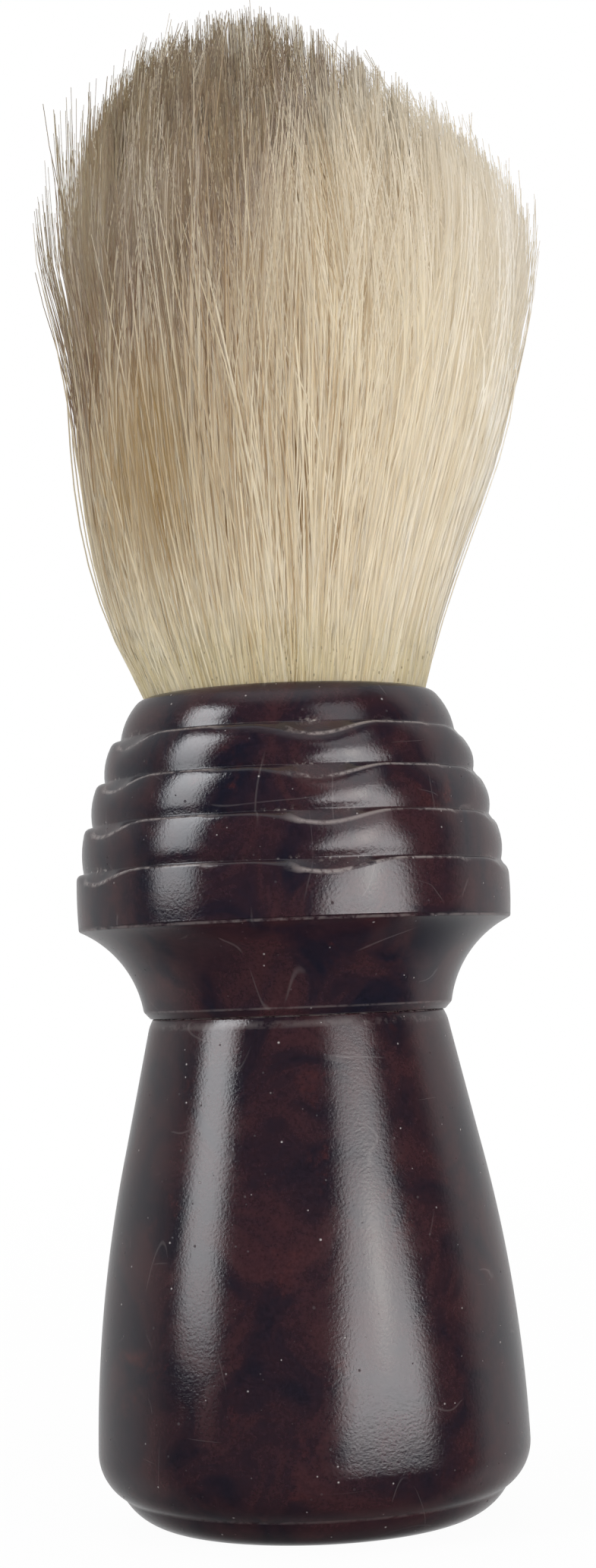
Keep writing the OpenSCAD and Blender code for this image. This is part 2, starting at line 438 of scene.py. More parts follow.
class Tree:
    """A short way to add and join shader nodes.

    A mix node has sockets for every kind of value, so those for colours are named by place.
    """

    mix_inputs = (0, 6, 7)
    mix_output = 2

    def __init__(self, tree: bpy.types.NodeTree) -> None:
        """Keeps the tree that nodes are added to."""
        self.tree = tree

    def node(self, kind: str, inputs: dict[Any, Any] | None = None, **settings: Any) -> bpy.types.Node:
        """Adds a node.

        Args:
            kind: The node's type.
            inputs: A number, colour or socket for each input, by name or place.
            settings: The node's own settings.

        Returns:
            The node.
        """
        made = self.tree.nodes.new(kind)
        for key, value in settings.items():
            setattr(made, key, value)
        for key, value in (inputs or {}).items():
            self.feed(made.inputs[key], value)
        return made

    def feed(self, socket: Socket, value: Any) -> None:
        """Gives an input its value.

        Args:
            socket: The input.
            value: Another node's output, or a number or colour.
        """
        if isinstance(value, Socket):
            self.tree.links.new(value, socket)
        elif isinstance(value, tuple) and socket.type == "RGBA":
            socket.default_value = (*value, 1.0)
        else:
            socket.default_value = value

    def math(self, operation: str, a: Any, b: Any = 0.0) -> Socket:
        """One or two values, put through an operation."""
        return self.node("ShaderNodeMath", {0: a, 1: b}, operation=operation).outputs[0]

    def times(self, a: Any, b: Any) -> Socket:
        """The product of two values."""
        return self.math("MULTIPLY", a, b)

    def plus(self, a: Any, b: Any) -> Socket:
        """The sum of two values."""
        return self.math("ADD", a, b)

    def minus(self, a: Any, b: Any) -> Socket:
        """The first value less the second."""
        return self.math("SUBTRACT", a, b)

    def most(self, a: Any, b: Any) -> Socket:
        """The larger of two values."""
        return self.math("MAXIMUM", a, b)

    def spread(self, value: Any, by: Any) -> Socket:
        """How far a value lies from its middle, 0.5, times a factor."""
        return self.times(self.minus(value, 0.5), by)

    def mix(self, share: Any, a: Any, b: Any, blend: str = "MIX") -> Socket:
        """A blend of two colours.

        Args:
            share: How much of the second is taken.
            a: First colour.
            b: Second colour.
            blend: How the second is laid on the first.

        Returns:
            The blended colour.
        """
        inputs = dict(zip(self.mix_inputs, (share, a, b)))
        made = self.node("ShaderNodeMix", inputs, data_type="RGBA", blend_type=blend)
        return made.outputs[self.mix_output]

    def remap(self, value: Any, low: Any, high: Any, to: Reach = (0.0, 1.0)) -> Socket:
        """A smooth step from one range to another.

        Args:
            value: The value to carry over.
            low: Where the step begins.
            high: Where it ends.
            to: What it gives at both ends.

        Returns:
            The new value.
        """
        made = self.node("ShaderNodeMapRange", {
            "Value": value, "From Min": low, "From Max": high, "To Min": to[0], "To Max": to[1]},
            interpolation_type="SMOOTHSTEP")
        return made.outputs["Result"]

    def noise(
        self,
        at: Any,
        scale: Any,
        detail: float,
        rough: float,
        bend: float = 0.0,
    ) -> Socket:
        """Cloudy noise.

        Args:
            at: The place it is read at.
            scale: Clouds in a metre.
            detail: Number of finer layers.
            rough: Strength of the finer layers.
            bend: How far the clouds are dragged about.

        Returns:
            The noise, about 0.5.
        """
        made = self.node("ShaderNodeTexNoise", {
            "Vector": at, "Scale": scale, "Detail": detail, "Roughness": rough, "Distortion": bend})
        return made.outputs["Fac"]

    def mark(self, name: Mark) -> Socket:
        """A value that the mesh carries."""
        return self.node("ShaderNodeAttribute", attribute_name=name.value).outputs["Fac"]

    def place(self, kind: str = "Object") -> Socket:
        """Places on the surface, counted in this way."""
        return self.node("ShaderNodeTexCoord").outputs[kind]

    def moved(self, at: Any, by: Trio) -> Socket:
        """Places moved along each axis."""
        return self.node("ShaderNodeVectorMath", {0: at, 1: by}, operation="ADD").outputs[0]

    def stretch(self, at: Any, by: Trio) -> Socket:
        """Places scaled along each axis."""
        return self.node("ShaderNodeMapping", {"Vector": at, "Scale": by}).outputs[0]

    def split(self, at: Any) -> Any:
        """The x, y and z of places, by name in capitals."""
        return self.node("ShaderNodeSeparateXYZ", {0: at}).outputs


class Effect:
    """A surface effect that several finishes share, kept as one node group."""

    title = "effect"
    takes: tuple[tuple[str, Port, Any], ...] = ()
    gives: tuple[tuple[str, Port], ...] = ()

    def wire(self, tree: Tree, given: Any, out: Any) -> None:
        """Joins the group's nodes.

        Args:
            tree: The group.
            given: Sockets of the group's inputs, by name.
            out: Sockets of the group's outputs, by name.
        """
        raise NotImplementedError

    def group(self) -> bpy.types.NodeTree:
        """Builds the group at its first use.

        Returns:
            The group.
        """
        made = bpy.data.node_groups.get(self.title)
        if made is None:
            made = bpy.data.node_groups.new(self.title, "ShaderNodeTree")
            for name, port, start in self.takes:
                socket = made.interface.new_socket(name=name, in_out="INPUT", socket_type=port.value)
                if start is not None:
                    socket.default_value = (*start, 1.0) if port is Port.COLOUR else start
            for name, port in self.gives:
                made.interface.new_socket(name=name, in_out="OUTPUT", socket_type=port.value)
            tree = Tree(made)
            given = tree.node("NodeGroupInput").outputs
            out = tree.node("NodeGroupOutput").inputs
            self.wire(tree, given, out)
        return made

    def place(self, tree: Tree, inputs: dict[str, Any]) -> Any:
        """Puts the effect into a material.

        Args:
            tree: The material's tree.
            inputs: A value or socket for each input.

        Returns:
            The outputs, by name.
        """
        return tree.node("ShaderNodeGroup", inputs, node_tree=self.group()).outputs


class Mottle(Effect):
    """Clouds of three colours, as in mixed moulding powder."""

    title = "mottled_clouds"
    takes = (
        ("Place", Port.VECTOR, None),
        ("Scale", Port.VALUE, 120.0),
        ("Ground", Port.COLOUR, (0.01, 0.01, 0.01)),
        ("Cloud", Port.COLOUR, (0.03, 0.01, 0.01)),
        ("Fleck", Port.COLOUR, (0.07, 0.015, 0.013)),
        ("Fleck share", Port.VALUE, 0.6),
    )
    gives = (("Colour", Port.COLOUR), ("Cloudiness", Port.VALUE))
    cloud_noise = (5.0, 0.62, 0.8)
    cloud_edge = (0.30, 0.70)
    fine_times = 9.0
    fine_noise = (3.0, 0.7)
    fine_share = 0.2
    fleck_times = 1.3
    fleck_noise = (4.0, 0.6, 0.5)
    fleck_shift = (0.31, 0.17, 0.23)
    fleck_fray = 0.3
    fleck_reach = 0.7
    fleck_edge = 0.3
    grain_times = 22.0
    grain_noise = (2.0, 0.7)
    grain_edge = (0.25, 0.75)
    grain_levels = (0.8, 1.2)

    def wire(self, tree: Tree, given: Any, out: Any) -> None:
        """Lays clouds, then flecks, on the ground colour.

        Args:
            tree: The group.
            given: Sockets of the group's inputs, by name.
            out: Sockets of the group's outputs, by name.
        """
        at, scale = given["Place"], given["Scale"]
        clouds = tree.remap(tree.noise(at, scale, *self.cloud_noise), *self.cloud_edge)
        fine = tree.noise(at, tree.times(scale, self.fine_times), *self.fine_noise)
        base = tree.mix(clouds, given["Ground"], given["Cloud"])
        beside = tree.moved(at, self.fleck_shift)
        spots = tree.noise(beside, tree.times(scale, self.fleck_times), *self.fleck_noise)
        broken = tree.plus(spots, tree.spread(fine, self.fleck_fray))
        edge = tree.minus(1.0, tree.times(given["Fleck share"], self.fleck_reach))
        flecks = tree.remap(broken, edge, tree.plus(edge, self.fleck_edge))
        grain = tree.noise(at, tree.times(scale, self.grain_times), *self.grain_noise)
        grains = tree.remap(grain, *self.grain_edge, self.grain_levels)
        flecked = tree.mix(flecks, base, given["Fleck"])
        tree.feed(out["Colour"], tree.mix(1.0, flecked, grains, "MULTIPLY"))
        tree.feed(out["Cloudiness"], tree.plus(clouds, tree.times(fine, self.fine_share)))


class SpeckSizes(NamedTuple):
    """Cells in a metre, size of a grain in its cell, and share of the cells that hold one."""

    scale: float
    size: float
    share: float


class Specks(Effect):
    """Scattered small grains."""

    title = "scattered_specks"
    takes = (
        ("Place", Port.VECTOR, None),
        ("Scale", Port.VALUE, 700.0),
        ("Size", Port.VALUE, 0.12),
        ("Share", Port.VALUE, 0.2),
    )
    gives = (("Mask", Port.VALUE),)
    least_size = 0.25
    core_share = 0.5

    def wire(self, tree: Tree, given: Any, out: Any) -> None:
        """Keeps a share of the cells and draws a grain in each.

        Args:
            tree: The group.
            given: Sockets of the group's inputs, by name.
            out: Sockets of the group's outputs, by name.
        """
        cells = tree.node("ShaderNodeTexVoronoi", {"Vector": given["Place"], "Scale": given["Scale"]})
        parts = tree.node("ShaderNodeSeparateColor", {0: cells.outputs["Color"]})
        kept = tree.math("LESS_THAN", parts.outputs[0], given["Share"])
        size = tree.times(given["Size"], tree.plus(parts.outputs[1], self.least_size))
        grain = tree.remap(cells.outputs["Distance"], size, tree.times(size, self.core_share))
        tree.feed(out["Mask"], tree.times(kept, grain))

    def mask(self, tree: Tree, at: Any, sizes: SpeckSizes) -> Socket:
        """Where grains of these sizes lie."""
        inputs = {"Place": at, "Scale": sizes.scale, "Size": sizes.size, "Share": sizes.share}
        return self.place(tree, inputs)["Mask"]


class GrainSizes(NamedTuple):
    """Clouds in a metre, and how strongly they differ."""

    scale: float
    contrast: float


class Grain(Effect):
    """Fine unevenness for gloss and bump."""

    title = "fine_grain"
    takes = (
        ("Place", Port.VECTOR, None),
        ("Scale", Port.VALUE, 2500.0),
        ("Contrast", Port.VALUE, 1.0),
    )
    gives = (("Value", Port.VALUE),)
    cloud_noise = (4.0, 0.6)

    def wire(self, tree: Tree, given: Any, out: Any) -> None:
        """Spreads noise about its middle.

        Args:
            tree: The group.
            given: Sockets of the group's inputs, by name.
            out: Sockets of the group's outputs, by name.
        """
        cloud = tree.noise(given["Place"], given["Scale"], *self.cloud_noise)
        tree.feed(out["Value"], tree.plus(tree.spread(cloud, given["Contrast"]), 0.5))

    def value(self, tree: Tree, at: Any, sizes: GrainSizes) -> Socket:
        """Unevenness of these sizes, about 0.5."""
        inputs = {"Place": at, "Scale": sizes.scale, "Contrast": sizes.contrast}
        return self.place(tree, inputs)["Value"]


class WearAndHighlightSizes(NamedTuple):
    """Breaks in a metre, and how much of the marked band is covered."""

    scale: float
    cover: float


class WearAndHighlight(Effect):
    """Broken rubbing with a painted highlight along marked edges, and dried soap in marked corners."""

    title = "edge_wear_and_highlight"
    takes = (
        ("Place", Port.VECTOR, None),
        ("Mark", Port.VALUE, 0.0),
        ("Scale", Port.VALUE, 900.0),
        ("Cover", Port.VALUE, 0.5),
    )
    gives = (("Mask", Port.VALUE),)
    short_noise = (4.0, 0.7)
    short_share = 0.6
    long_times = 0.16
    long_noise = (2.0, 0.5)
    bare_edge = 0.82
    cover_reach = 0.5
    edge_width = 0.16

    def wire(self, tree: Tree, given: Any, out: Any) -> None:
        """Lets short and long noise eat into the marked band.

        Args:
            tree: The group.
            given: Sockets of the group's inputs, by name.
            out: Sockets of the group's outputs, by name.
        """
        short = tree.noise(given["Place"], given["Scale"], *self.short_noise)
        long = tree.noise(given["Place"], tree.times(given["Scale"], self.long_times), *self.long_noise)
        both = tree.plus(tree.times(short, self.short_share), tree.times(long, 1 - self.short_share))
        edge = tree.minus(self.bare_edge, tree.times(given["Cover"], self.cover_reach))
        eaten = tree.remap(both, edge, tree.plus(edge, self.edge_width))
        tree.feed(out["Mask"], tree.times(eaten, given["Mark"]))

    def mask(self, tree: Tree, at: Any, mark: Mark, sizes: WearAndHighlightSizes) -> Socket:
        """Where the mesh's mark shows, broken up at these sizes."""
        inputs = {"Place": at, "Mark": tree.mark(mark), "Scale": sizes.scale, "Cover": sizes.cover}
        return self.place(tree, inputs)["Mask"]


class Scratches(Effect):
    """Hair lines left by handling."""

    title = "hair_scratches"
    takes = (("Place", Port.VECTOR, None), ("Scale", Port.VALUE, 90.0), ("Width", Port.VALUE, 0.012))
    gives = (("Mask", Port.VALUE),)
    ways = ((0.25, 1.0, 1.6), (1.3, 0.5, 0.35))
    line_noise = (1.0, 0.4, 0.4)
    break_times = 2.3
    break_noise = (1.0, 0.55)
    break_edge = (0.56, 0.66)

    def wire(self, tree: Tree, given: Any, out: Any) -> None:
        """Finds the thin level lines of two stretched clouds.

        Args:
            tree: The group.
            given: Sockets of the group's inputs, by name.
            out: Sockets of the group's outputs, by name.
        """
        lines = []
        for by in self.ways:
            at = tree.stretch(given["Place"], by)
            cloud = tree.noise(at, given["Scale"], *self.line_noise)
            off = tree.math("ABSOLUTE", tree.minus(cloud, 0.5))
            breaks = tree.noise(at, tree.times(given["Scale"], self.break_times), *self.break_noise)
            kept = tree.remap(breaks, *self.break_edge)
            lines.append(tree.times(kept, tree.remap(off, given["Width"], 0.0)))
        tree.feed(out["Mask"], tree.most(*lines))


MOTTLE, SPECKS, GRAIN, WEAR_AND_HIGHLIGHT, SCRATCHES = Mottle(), Specks(), Grain(), WearAndHighlight(), Scratches()
GRAIN_SPAN: Reach = (0.2, 0.8)


def blank_material(name: str) -> tuple[bpy.types.Material, Tree, Socket]:
    """Starts a material.

    Args:
        name: Its name.

    Returns:
        The material, its empty tree, and the output that takes a surface.
    """
    material = bpy.data.materials.new(name)
    material.use_nodes = True
    material.node_tree.nodes.clear()
    tree = Tree(material.node_tree)
    out = tree.node("ShaderNodeOutputMaterial")
    return material, tree, out.inputs["Surface"]


def bumped(tree: Tree, surface: Socket, height: Any, depth: float, inputs: dict[str, Any]) -> None:
    """Ends a material with a shader whose surface rises and falls.

    Args:
        tree: The material's tree.
        surface: The output that takes the shader.
        height: How high each place stands, as a share of the depth.
        depth: The depth in metres.
        inputs: The shader's other inputs.
    """
    bump = tree.node("ShaderNodeBump", {"Strength": 1.0, "Distance": depth, "Height": height})
    shader = tree.node("ShaderNodeBsdfPrincipled", {**inputs, "Normal": bump.outputs[0]})
    tree.feed(surface, shader.outputs[0])


@dataclass(frozen=True)
class PhenolicFinish:
    """Polished dark moulding with clouds of oxblood, old dust, and rubbed edges that carry a painted
    highlight.
    """

    name: str
    shift: Trio
    ground: Colour = (0.0115, 0.0090, 0.0145)
    cloud: Colour = (0.0370, 0.0146, 0.0174)
    fleck: Colour = (0.0600, 0.0176, 0.0176)
    dust: Colour = (0.36, 0.33, 0.32)
    # Colour of marked edges: rubbed wear together with a painted highlight along the edge.
    rubbed_and_highlight: Colour = (0.26, 0.225, 0.215)
    soap: Colour = (0.46, 0.42, 0.38)
    cloud_scale: float = 185.0
    fleck_share: float = 0.60
    dust_specks: SpeckSizes = SpeckSizes(1300.0, 0.105, 0.3)
    pit_specks: SpeckSizes = SpeckSizes(1300.0, 0.15, 0.55)
    pit_depth: float = 0.7
    crust_height: float = 1.5
    line_scale: float = 130.0
    line_width: float = 0.006
    line_level: float = 0.10
    skin: GrainSizes = GrainSizes(4600.0, 1.5)
    skin_share: float = 0.6
    wear: WearAndHighlightSizes = WearAndHighlightSizes(1600.0, 0.86)
    wear_and_highlight_level: float = 0.8
    wear_matt: float = 0.5
    residue: WearAndHighlightSizes = WearAndHighlightSizes(2600.0, 0.6)
    gloss_from: Reach = (0.25, 0.85)
    gloss: Reach = (0.07, 0.17)
    matt: float = 0.45
    ior: float = 1.58
    peel: float = 0.000009

    def material(self) -> bpy.types.Material:
        """Builds the material.

        Returns:
            The material.
        """
        material, tree, surface = blank_material(self.name)
        at = tree.moved(tree.place(), self.shift)
        mottle = MOTTLE.place(tree, {
            "Place": at, "Scale": self.cloud_scale, "Ground": self.ground, "Cloud": self.cloud,
            "Fleck": self.fleck, "Fleck share": self.fleck_share})
        dust = SPECKS.mask(tree, at, self.dust_specks)
        pits = SPECKS.mask(tree, at, self.pit_specks)
        lines = SCRATCHES.place(tree, {"Place": at, "Scale": self.line_scale, "Width": self.line_width})
        fine = GRAIN.value(tree, at, self.skin)
        rubbed_and_highlight = WEAR_AND_HIGHLIGHT.mask(tree, at, Mark.WEAR_AND_HIGHLIGHT, self.wear)
        soap = WEAR_AND_HIGHLIGHT.mask(tree, at, Mark.RESIDUE, self.residue)
        colour = tree.mix(tree.times(lines["Mask"], self.line_level), mottle["Colour"], self.dust)
        # Painted highlight and wear: marked edges are laid in a pale colour.
        colour = tree.mix(tree.times(rubbed_and_highlight, self.wear_and_highlight_level), colour, self.rubbed_and_highlight)
        colour = tree.mix(soap, colour, self.soap)
        colour = tree.mix(dust, colour, self.dust)
        clouded = tree.times(mottle["Cloudiness"], 1 - self.skin_share)
        uneven = tree.plus(tree.times(fine, self.skin_share), clouded)
        crust = tree.most(soap, dust)
        matt = tree.most(tree.most(crust, tree.times(rubbed_and_highlight, self.wear_matt)), pits)
        rough = tree.plus(tree.remap(uneven, *self.gloss_from, self.gloss), tree.times(matt, self.matt))
        height = tree.minus(fine, tree.times(pits, self.pit_depth))
        height = tree.plus(height, tree.times(crust, self.crust_height))
        look = {"Base Color": colour, "Roughness": rough, "IOR": self.ior}
        bumped(tree, surface, height, self.peel, look)
        return material


@dataclass(frozen=True)
class BristleFinish:
    """Bleached bristle, with painted shade between the strands and painted light on the right, stained at
    the tips and roots.
    """

    name: str = "bristle_ivory"
    ivory: Colour = (0.63, 0.525, 0.365)
    # Whitest colour, for tones above 1, which come mostly from painted light on the right side.
    lit_white: Colour = (0.93, 0.86, 0.72)
    # Darkest colour: the bristles' own darker tone, and painted shade in the layers beneath the skin.
    straw_and_shade: Colour = (0.262, 0.168, 0.074)
    grey_tip: Colour = (0.080, 0.0385, 0.024)
    amber: Colour = (0.218, 0.134, 0.042)
    root: Colour = (0.34, 0.28, 0.12)
    dirt: Colour = (0.075, 0.065, 0.028)
    streak_stretch: Trio = (1.0, 1.0, 0.12)
    streaks: GrainSizes = GrainSizes(900.0, 1.6)
    streak_level: float = 0.5
    ivory_tone: Reach = (0.0, 1.0)
    lit_white_tone: Reach = (1.0, 1.8)
    dirt_stretch: Trio = (1.0, 1.0, 0.5)
    dirt_specks: SpeckSizes = SpeckSizes(3400.0, 0.3, 0.52)
    dirt_root: Reach = (0.08, 0.55)
    dirt_level: float = 0.75
    gloss: Reach = (0.36, 0.52)
    ior: float = 1.35
    glow: float = 0.4
    glow_tint: Trio = (1.0, 0.8, 0.6)
    glow_depth: float = 0.0004

    def material(self) -> bpy.types.Material:
        """Builds the material.

        Returns:
            The material.
        """
        material, tree, surface = blank_material(self.name)
        at = tree.place()
        streak = GRAIN.value(tree, tree.stretch(at, self.streak_stretch), self.streaks)
        specks = SPECKS.mask(tree, tree.stretch(at, self.dirt_stretch), self.dirt_specks)
        tone = tree.plus(tree.mark(Mark.TONE), tree.spread(streak, self.streak_level))
        # Tone runs from the straw colour to ivory; its low end is partly painted shade between the strands.
        colour = tree.mix(tree.remap(tone, *self.ivory_tone), self.straw_and_shade, self.ivory)
        # Painted light: tones above 1, mostly on the right side, turn whiter.
        colour = tree.mix(tree.remap(tone, *self.lit_white_tone), colour, self.lit_white)
        colour = tree.mix(tree.mark(Mark.STAIN), colour, self.grey_tip)
        colour = tree.mix(tree.mark(Mark.AMBER), colour, self.amber)
        colour = tree.mix(tree.mark(Mark.ROOT), colour, self.root)
        dirt = tree.times(specks, tree.remap(tree.mark(Mark.ROOT), *self.dirt_root))
        colour = tree.mix(tree.times(dirt, self.dirt_level), colour, self.dirt)
        shader = tree.node("ShaderNodeBsdfPrincipled", {
            "Base Color": colour, "Roughness": tree.remap(streak, *GRAIN_SPAN, self.gloss),
            "IOR": self.ior, "Subsurface Weight": self.glow, "Subsurface Radius": self.glow_tint,
            "Subsurface Scale": self.glow_depth})
        tree.feed(surface, shader.outputs[0])
        return material


@dataclass(frozen=True)
class GranularFinish:
    """Matt packing or filler: clouds of three tones with open pores."""

    name: str
    ground: Colour
    cloud: Colour
    fleck: Colour
    pore: Colour
    cloud_scale: float
    pores: SpeckSizes
    gloss: Reach
    depth: float
    fleck_share: float = 0.66
    fine_times: float = 2.0
    fine_contrast: float = 1.2
    fine_height: float = 0.4

    def material(self) -> bpy.types.Material:
        """Builds the material.

        Returns:
            The material.
        """
        material, tree, surface = blank_material(self.name)
        at = tree.place()
        mottle = MOTTLE.place(tree, {
            "Place": at, "Scale": self.cloud_scale, "Ground": self.ground, "Cloud": self.cloud,
            "Fleck": self.fleck, "Fleck share": self.fleck_share})
        pores = SPECKS.mask(tree, at, self.pores)
        grain = GrainSizes(self.fine_times * self.pores.scale, self.fine_contrast)
        fine = GRAIN.value(tree, at, grain)
        colour = tree.mix(pores, mottle["Colour"], self.pore)
        rough = tree.remap(fine, *GRAIN_SPAN, self.gloss)
        height = tree.minus(tree.times(fine, self.fine_height), pores)
        bumped(tree, surface, height, self.depth, {"Base Color": colour, "Roughness": rough})
        return material


@dataclass(frozen=True)
class TwineFinish:
    """Waxed cord of twisted fibres."""

    name: str = "waxed_twine"
    pale: Colour = (0.48, 0.36, 0.19)
    deep: Colour = (0.22, 0.14, 0.06)
    fibre_stretch: Trio = (0.5, 0.5, 1.6)
    fibres: GrainSizes = GrainSizes(2200.0, 1.8)
    fibre_edge: Reach = (0.15, 0.85)
    lint_specks: SpeckSizes = SpeckSizes(1400.0, 0.3, 0.15)
    lint_level: float = 0.5
    gloss: Reach = (0.45, 0.70)
    depth: float = 0.00004

    def material(self) -> bpy.types.Material:
        """Builds the material.

        Returns:
            The material.
        """
        material, tree, surface = blank_material(self.name)
        at = tree.place()
        fibre = GRAIN.value(tree, tree.stretch(at, self.fibre_stretch), self.fibres)
        lint = SPECKS.mask(tree, at, self.lint_specks)
        colour = tree.mix(tree.remap(fibre, *self.fibre_edge), self.deep, self.pale)
        colour = tree.mix(tree.times(lint, self.lint_level), colour, self.pale)
        rough = tree.remap(fibre, *GRAIN_SPAN, self.gloss)
        bumped(tree, surface, fibre, self.depth, {"Base Color": colour, "Roughness": rough})
        return material


@dataclass
class Handle:
    """Lower moulding: bellied grip on a flat foot with a rounded edge, and a screw spigot on top."""

    finish: PhenolicFinish
    columns: int = 360
    belly_z: float = 5.6
    belly_arc_r: float = 110.0
    belly_steps: int = 44
    taper_r: float = 13.41
    taper_z: float = 28.5
    taper_rounding: Edge = Edge(2.0, 6)
    neck_r: float = 11.2
    neck_bevel: Reach = (0.16, 0.6)
    # The third number of an edge is its wear with a painted highlight.
    bevel_rounding: Edge = Edge(0.35, 6, 0.25)
    neck_rounding: Edge = Edge(0.12, 5, 0.9)
    foot_edge_r: float = 14.6
    foot_edge_z: float = 2.35
    foot_edge_rounding: Edge = Edge(0.22, 6, 0.2)
    foot_edge_steps: int = 16
    foot_r: float = 10.6
    foot_rounding: Edge = Edge(0.3, 4, 0.35)
    foot_steps: int = 14
    foot_hub: float = 0.4
    core_floor: float = 9.0
    core_draft: float = 1.0
    core_hub: float = 0.3
    core_rounding: Edge = Edge(1.0, 6)
    mouth_rounding: Edge = Edge(0.2, 4)
    spigot_wall: float = 2.3
    spigot_bevel: float = 0.3
    spigot_rounding: Edge = Edge(0.1, 3)
    thread_r: float = 9.0
    thread_pitch: float = 2.0
    thread_depth: float = 0.7
    thread_play: float = 0.02
    thread_relief: float = 0.6
    thread_rounding: Edge = Edge(0.15, 4)
    thread_rows: int = 18
    crest_foot: float = 0.76
    crest_flank: float = 0.52
    run_in: float = 0.6
    run_out: Reach = (0.8, 0.05)

    def __post_init__(self) -> None:
        """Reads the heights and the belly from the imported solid."""
        high = node_box("handle")[1]
        self.belly_r = float(high[0])
        self.spigot_top = float(high[2])
        self.seam_z = float(node_box("collar")[0][2])
        self.thread_core_r = self.thread_r - self.thread_depth
        self.core_r = self.thread_core_r - self.spigot_wall

    def foot(self, line: Outline) -> None:
        """Draws the foot and the bevel up to the belly.

        Args:
            line: The outline so far.
        """
        foot_run = self.foot_edge_r - self.foot_r
        foot_arc = tangent_r(self.foot_edge_z, foot_run)
        foot_end = math.atan2(self.foot_edge_z - foot_arc, foot_run)
        line.add(self.foot_hub * self.foot_r, 0.0)
        line.add(self.foot_r, 0.0, *self.foot_rounding)
        line.arc((self.foot_r, foot_arc), foot_arc, (-math.pi / 2, foot_end), self.foot_steps)
        line.add(self.foot_edge_r, self.foot_edge_z, *self.foot_edge_rounding)
        bevel_arc = tangent_r(self.belly_r - self.foot_edge_r, self.belly_z - self.foot_edge_z)
        centre = (self.belly_r - bevel_arc, self.belly_z)
        bevel_start = math.atan2(self.foot_edge_z - centre[1], self.foot_edge_r - centre[0])
        line.arc(centre, bevel_arc, (bevel_start, 0.0), self.foot_edge_steps)

    def grip(self, line: Outline) -> None:
        """Draws the belly and the taper up to the seam.

        Args:
            line: The outline so far.
        """
        start, end = (self.belly_r, self.belly_z), (self.taper_r, self.taper_z)
        centre = arc_centre(start, end, self.belly_arc_r)
        turn = [math.atan2(z - centre[1], r - centre[0]) for r, z in (start, end)]
        line.add(*start)
        line.arc(centre, self.belly_arc_r, (turn[0], turn[1]), self.belly_steps)
        line.add(*end, *self.taper_rounding)
        fall = (self.taper_r - self.neck_r) / (self.seam_z - self.taper_z)
        bevel_in, bevel_down = self.neck_bevel
        line.add(self.neck_r + fall * bevel_down, self.seam_z - bevel_down, *self.bevel_rounding)
        line.add(self.neck_r - bevel_in, self.seam_z, *self.neck_rounding)

    def thread(self, line: Outline) -> None:
        """Draws the right-hand screw thread of the spigot.

        Args:
            line: The outline so far.
        """
        turn = np.arange(self.columns) / self.columns
        bottom, top = self.seam_z + self.thread_relief, self.spigot_top
        rows = int((top - bottom) / self.thread_pitch * self.thread_rows)
        line.add(self.thread_core_r, self.seam_z, *self.thread_rounding)
        for k in range(rows + 1):
            z = bottom + (top - bottom) * k / rows
            place = ((z - bottom) / self.thread_pitch - turn) % 1.0
            crest = ease(self.crest_foot - 2 * np.abs(place - 0.5), 0.0, self.crest_flank)
            full = ease(z, bottom, bottom + self.run_in)
            full = full * (1 - ease(z, top - self.run_out[0], top - self.run_out[1]))
            line.add(self.thread_core_r + (self.thread_depth - self.thread_play) * crest * full, z)

    def core(self, line: Outline) -> None:
        """Draws the spigot's end and the drafted pocket inside it.

        Args:
            line: The outline so far.
        """
        slope = math.tan(math.radians(self.core_draft))
        floor_r = self.core_r - (self.spigot_top - self.core_floor) * slope
        line.add(self.thread_core_r - self.spigot_bevel, self.spigot_top, *self.spigot_rounding)
        line.add(self.core_r, self.spigot_top, *self.mouth_rounding)
        line.add(floor_r, self.core_floor, *self.core_rounding)
        line.add(self.core_hub * floor_r, self.core_floor)

    def build(self) -> list[bpy.types.Object]:
        """Builds and dresses the moulding.

        Returns:
            The one piece.
        """
        line = Outline(self.columns)
        for draw in (self.foot, self.grip, self.thread, self.core):
            draw(line)
        piece = line.mesh(closed=False).link("handle_moulding")
        return [dress(piece, Body.HANDLE, self.finish.material(), "handle")]


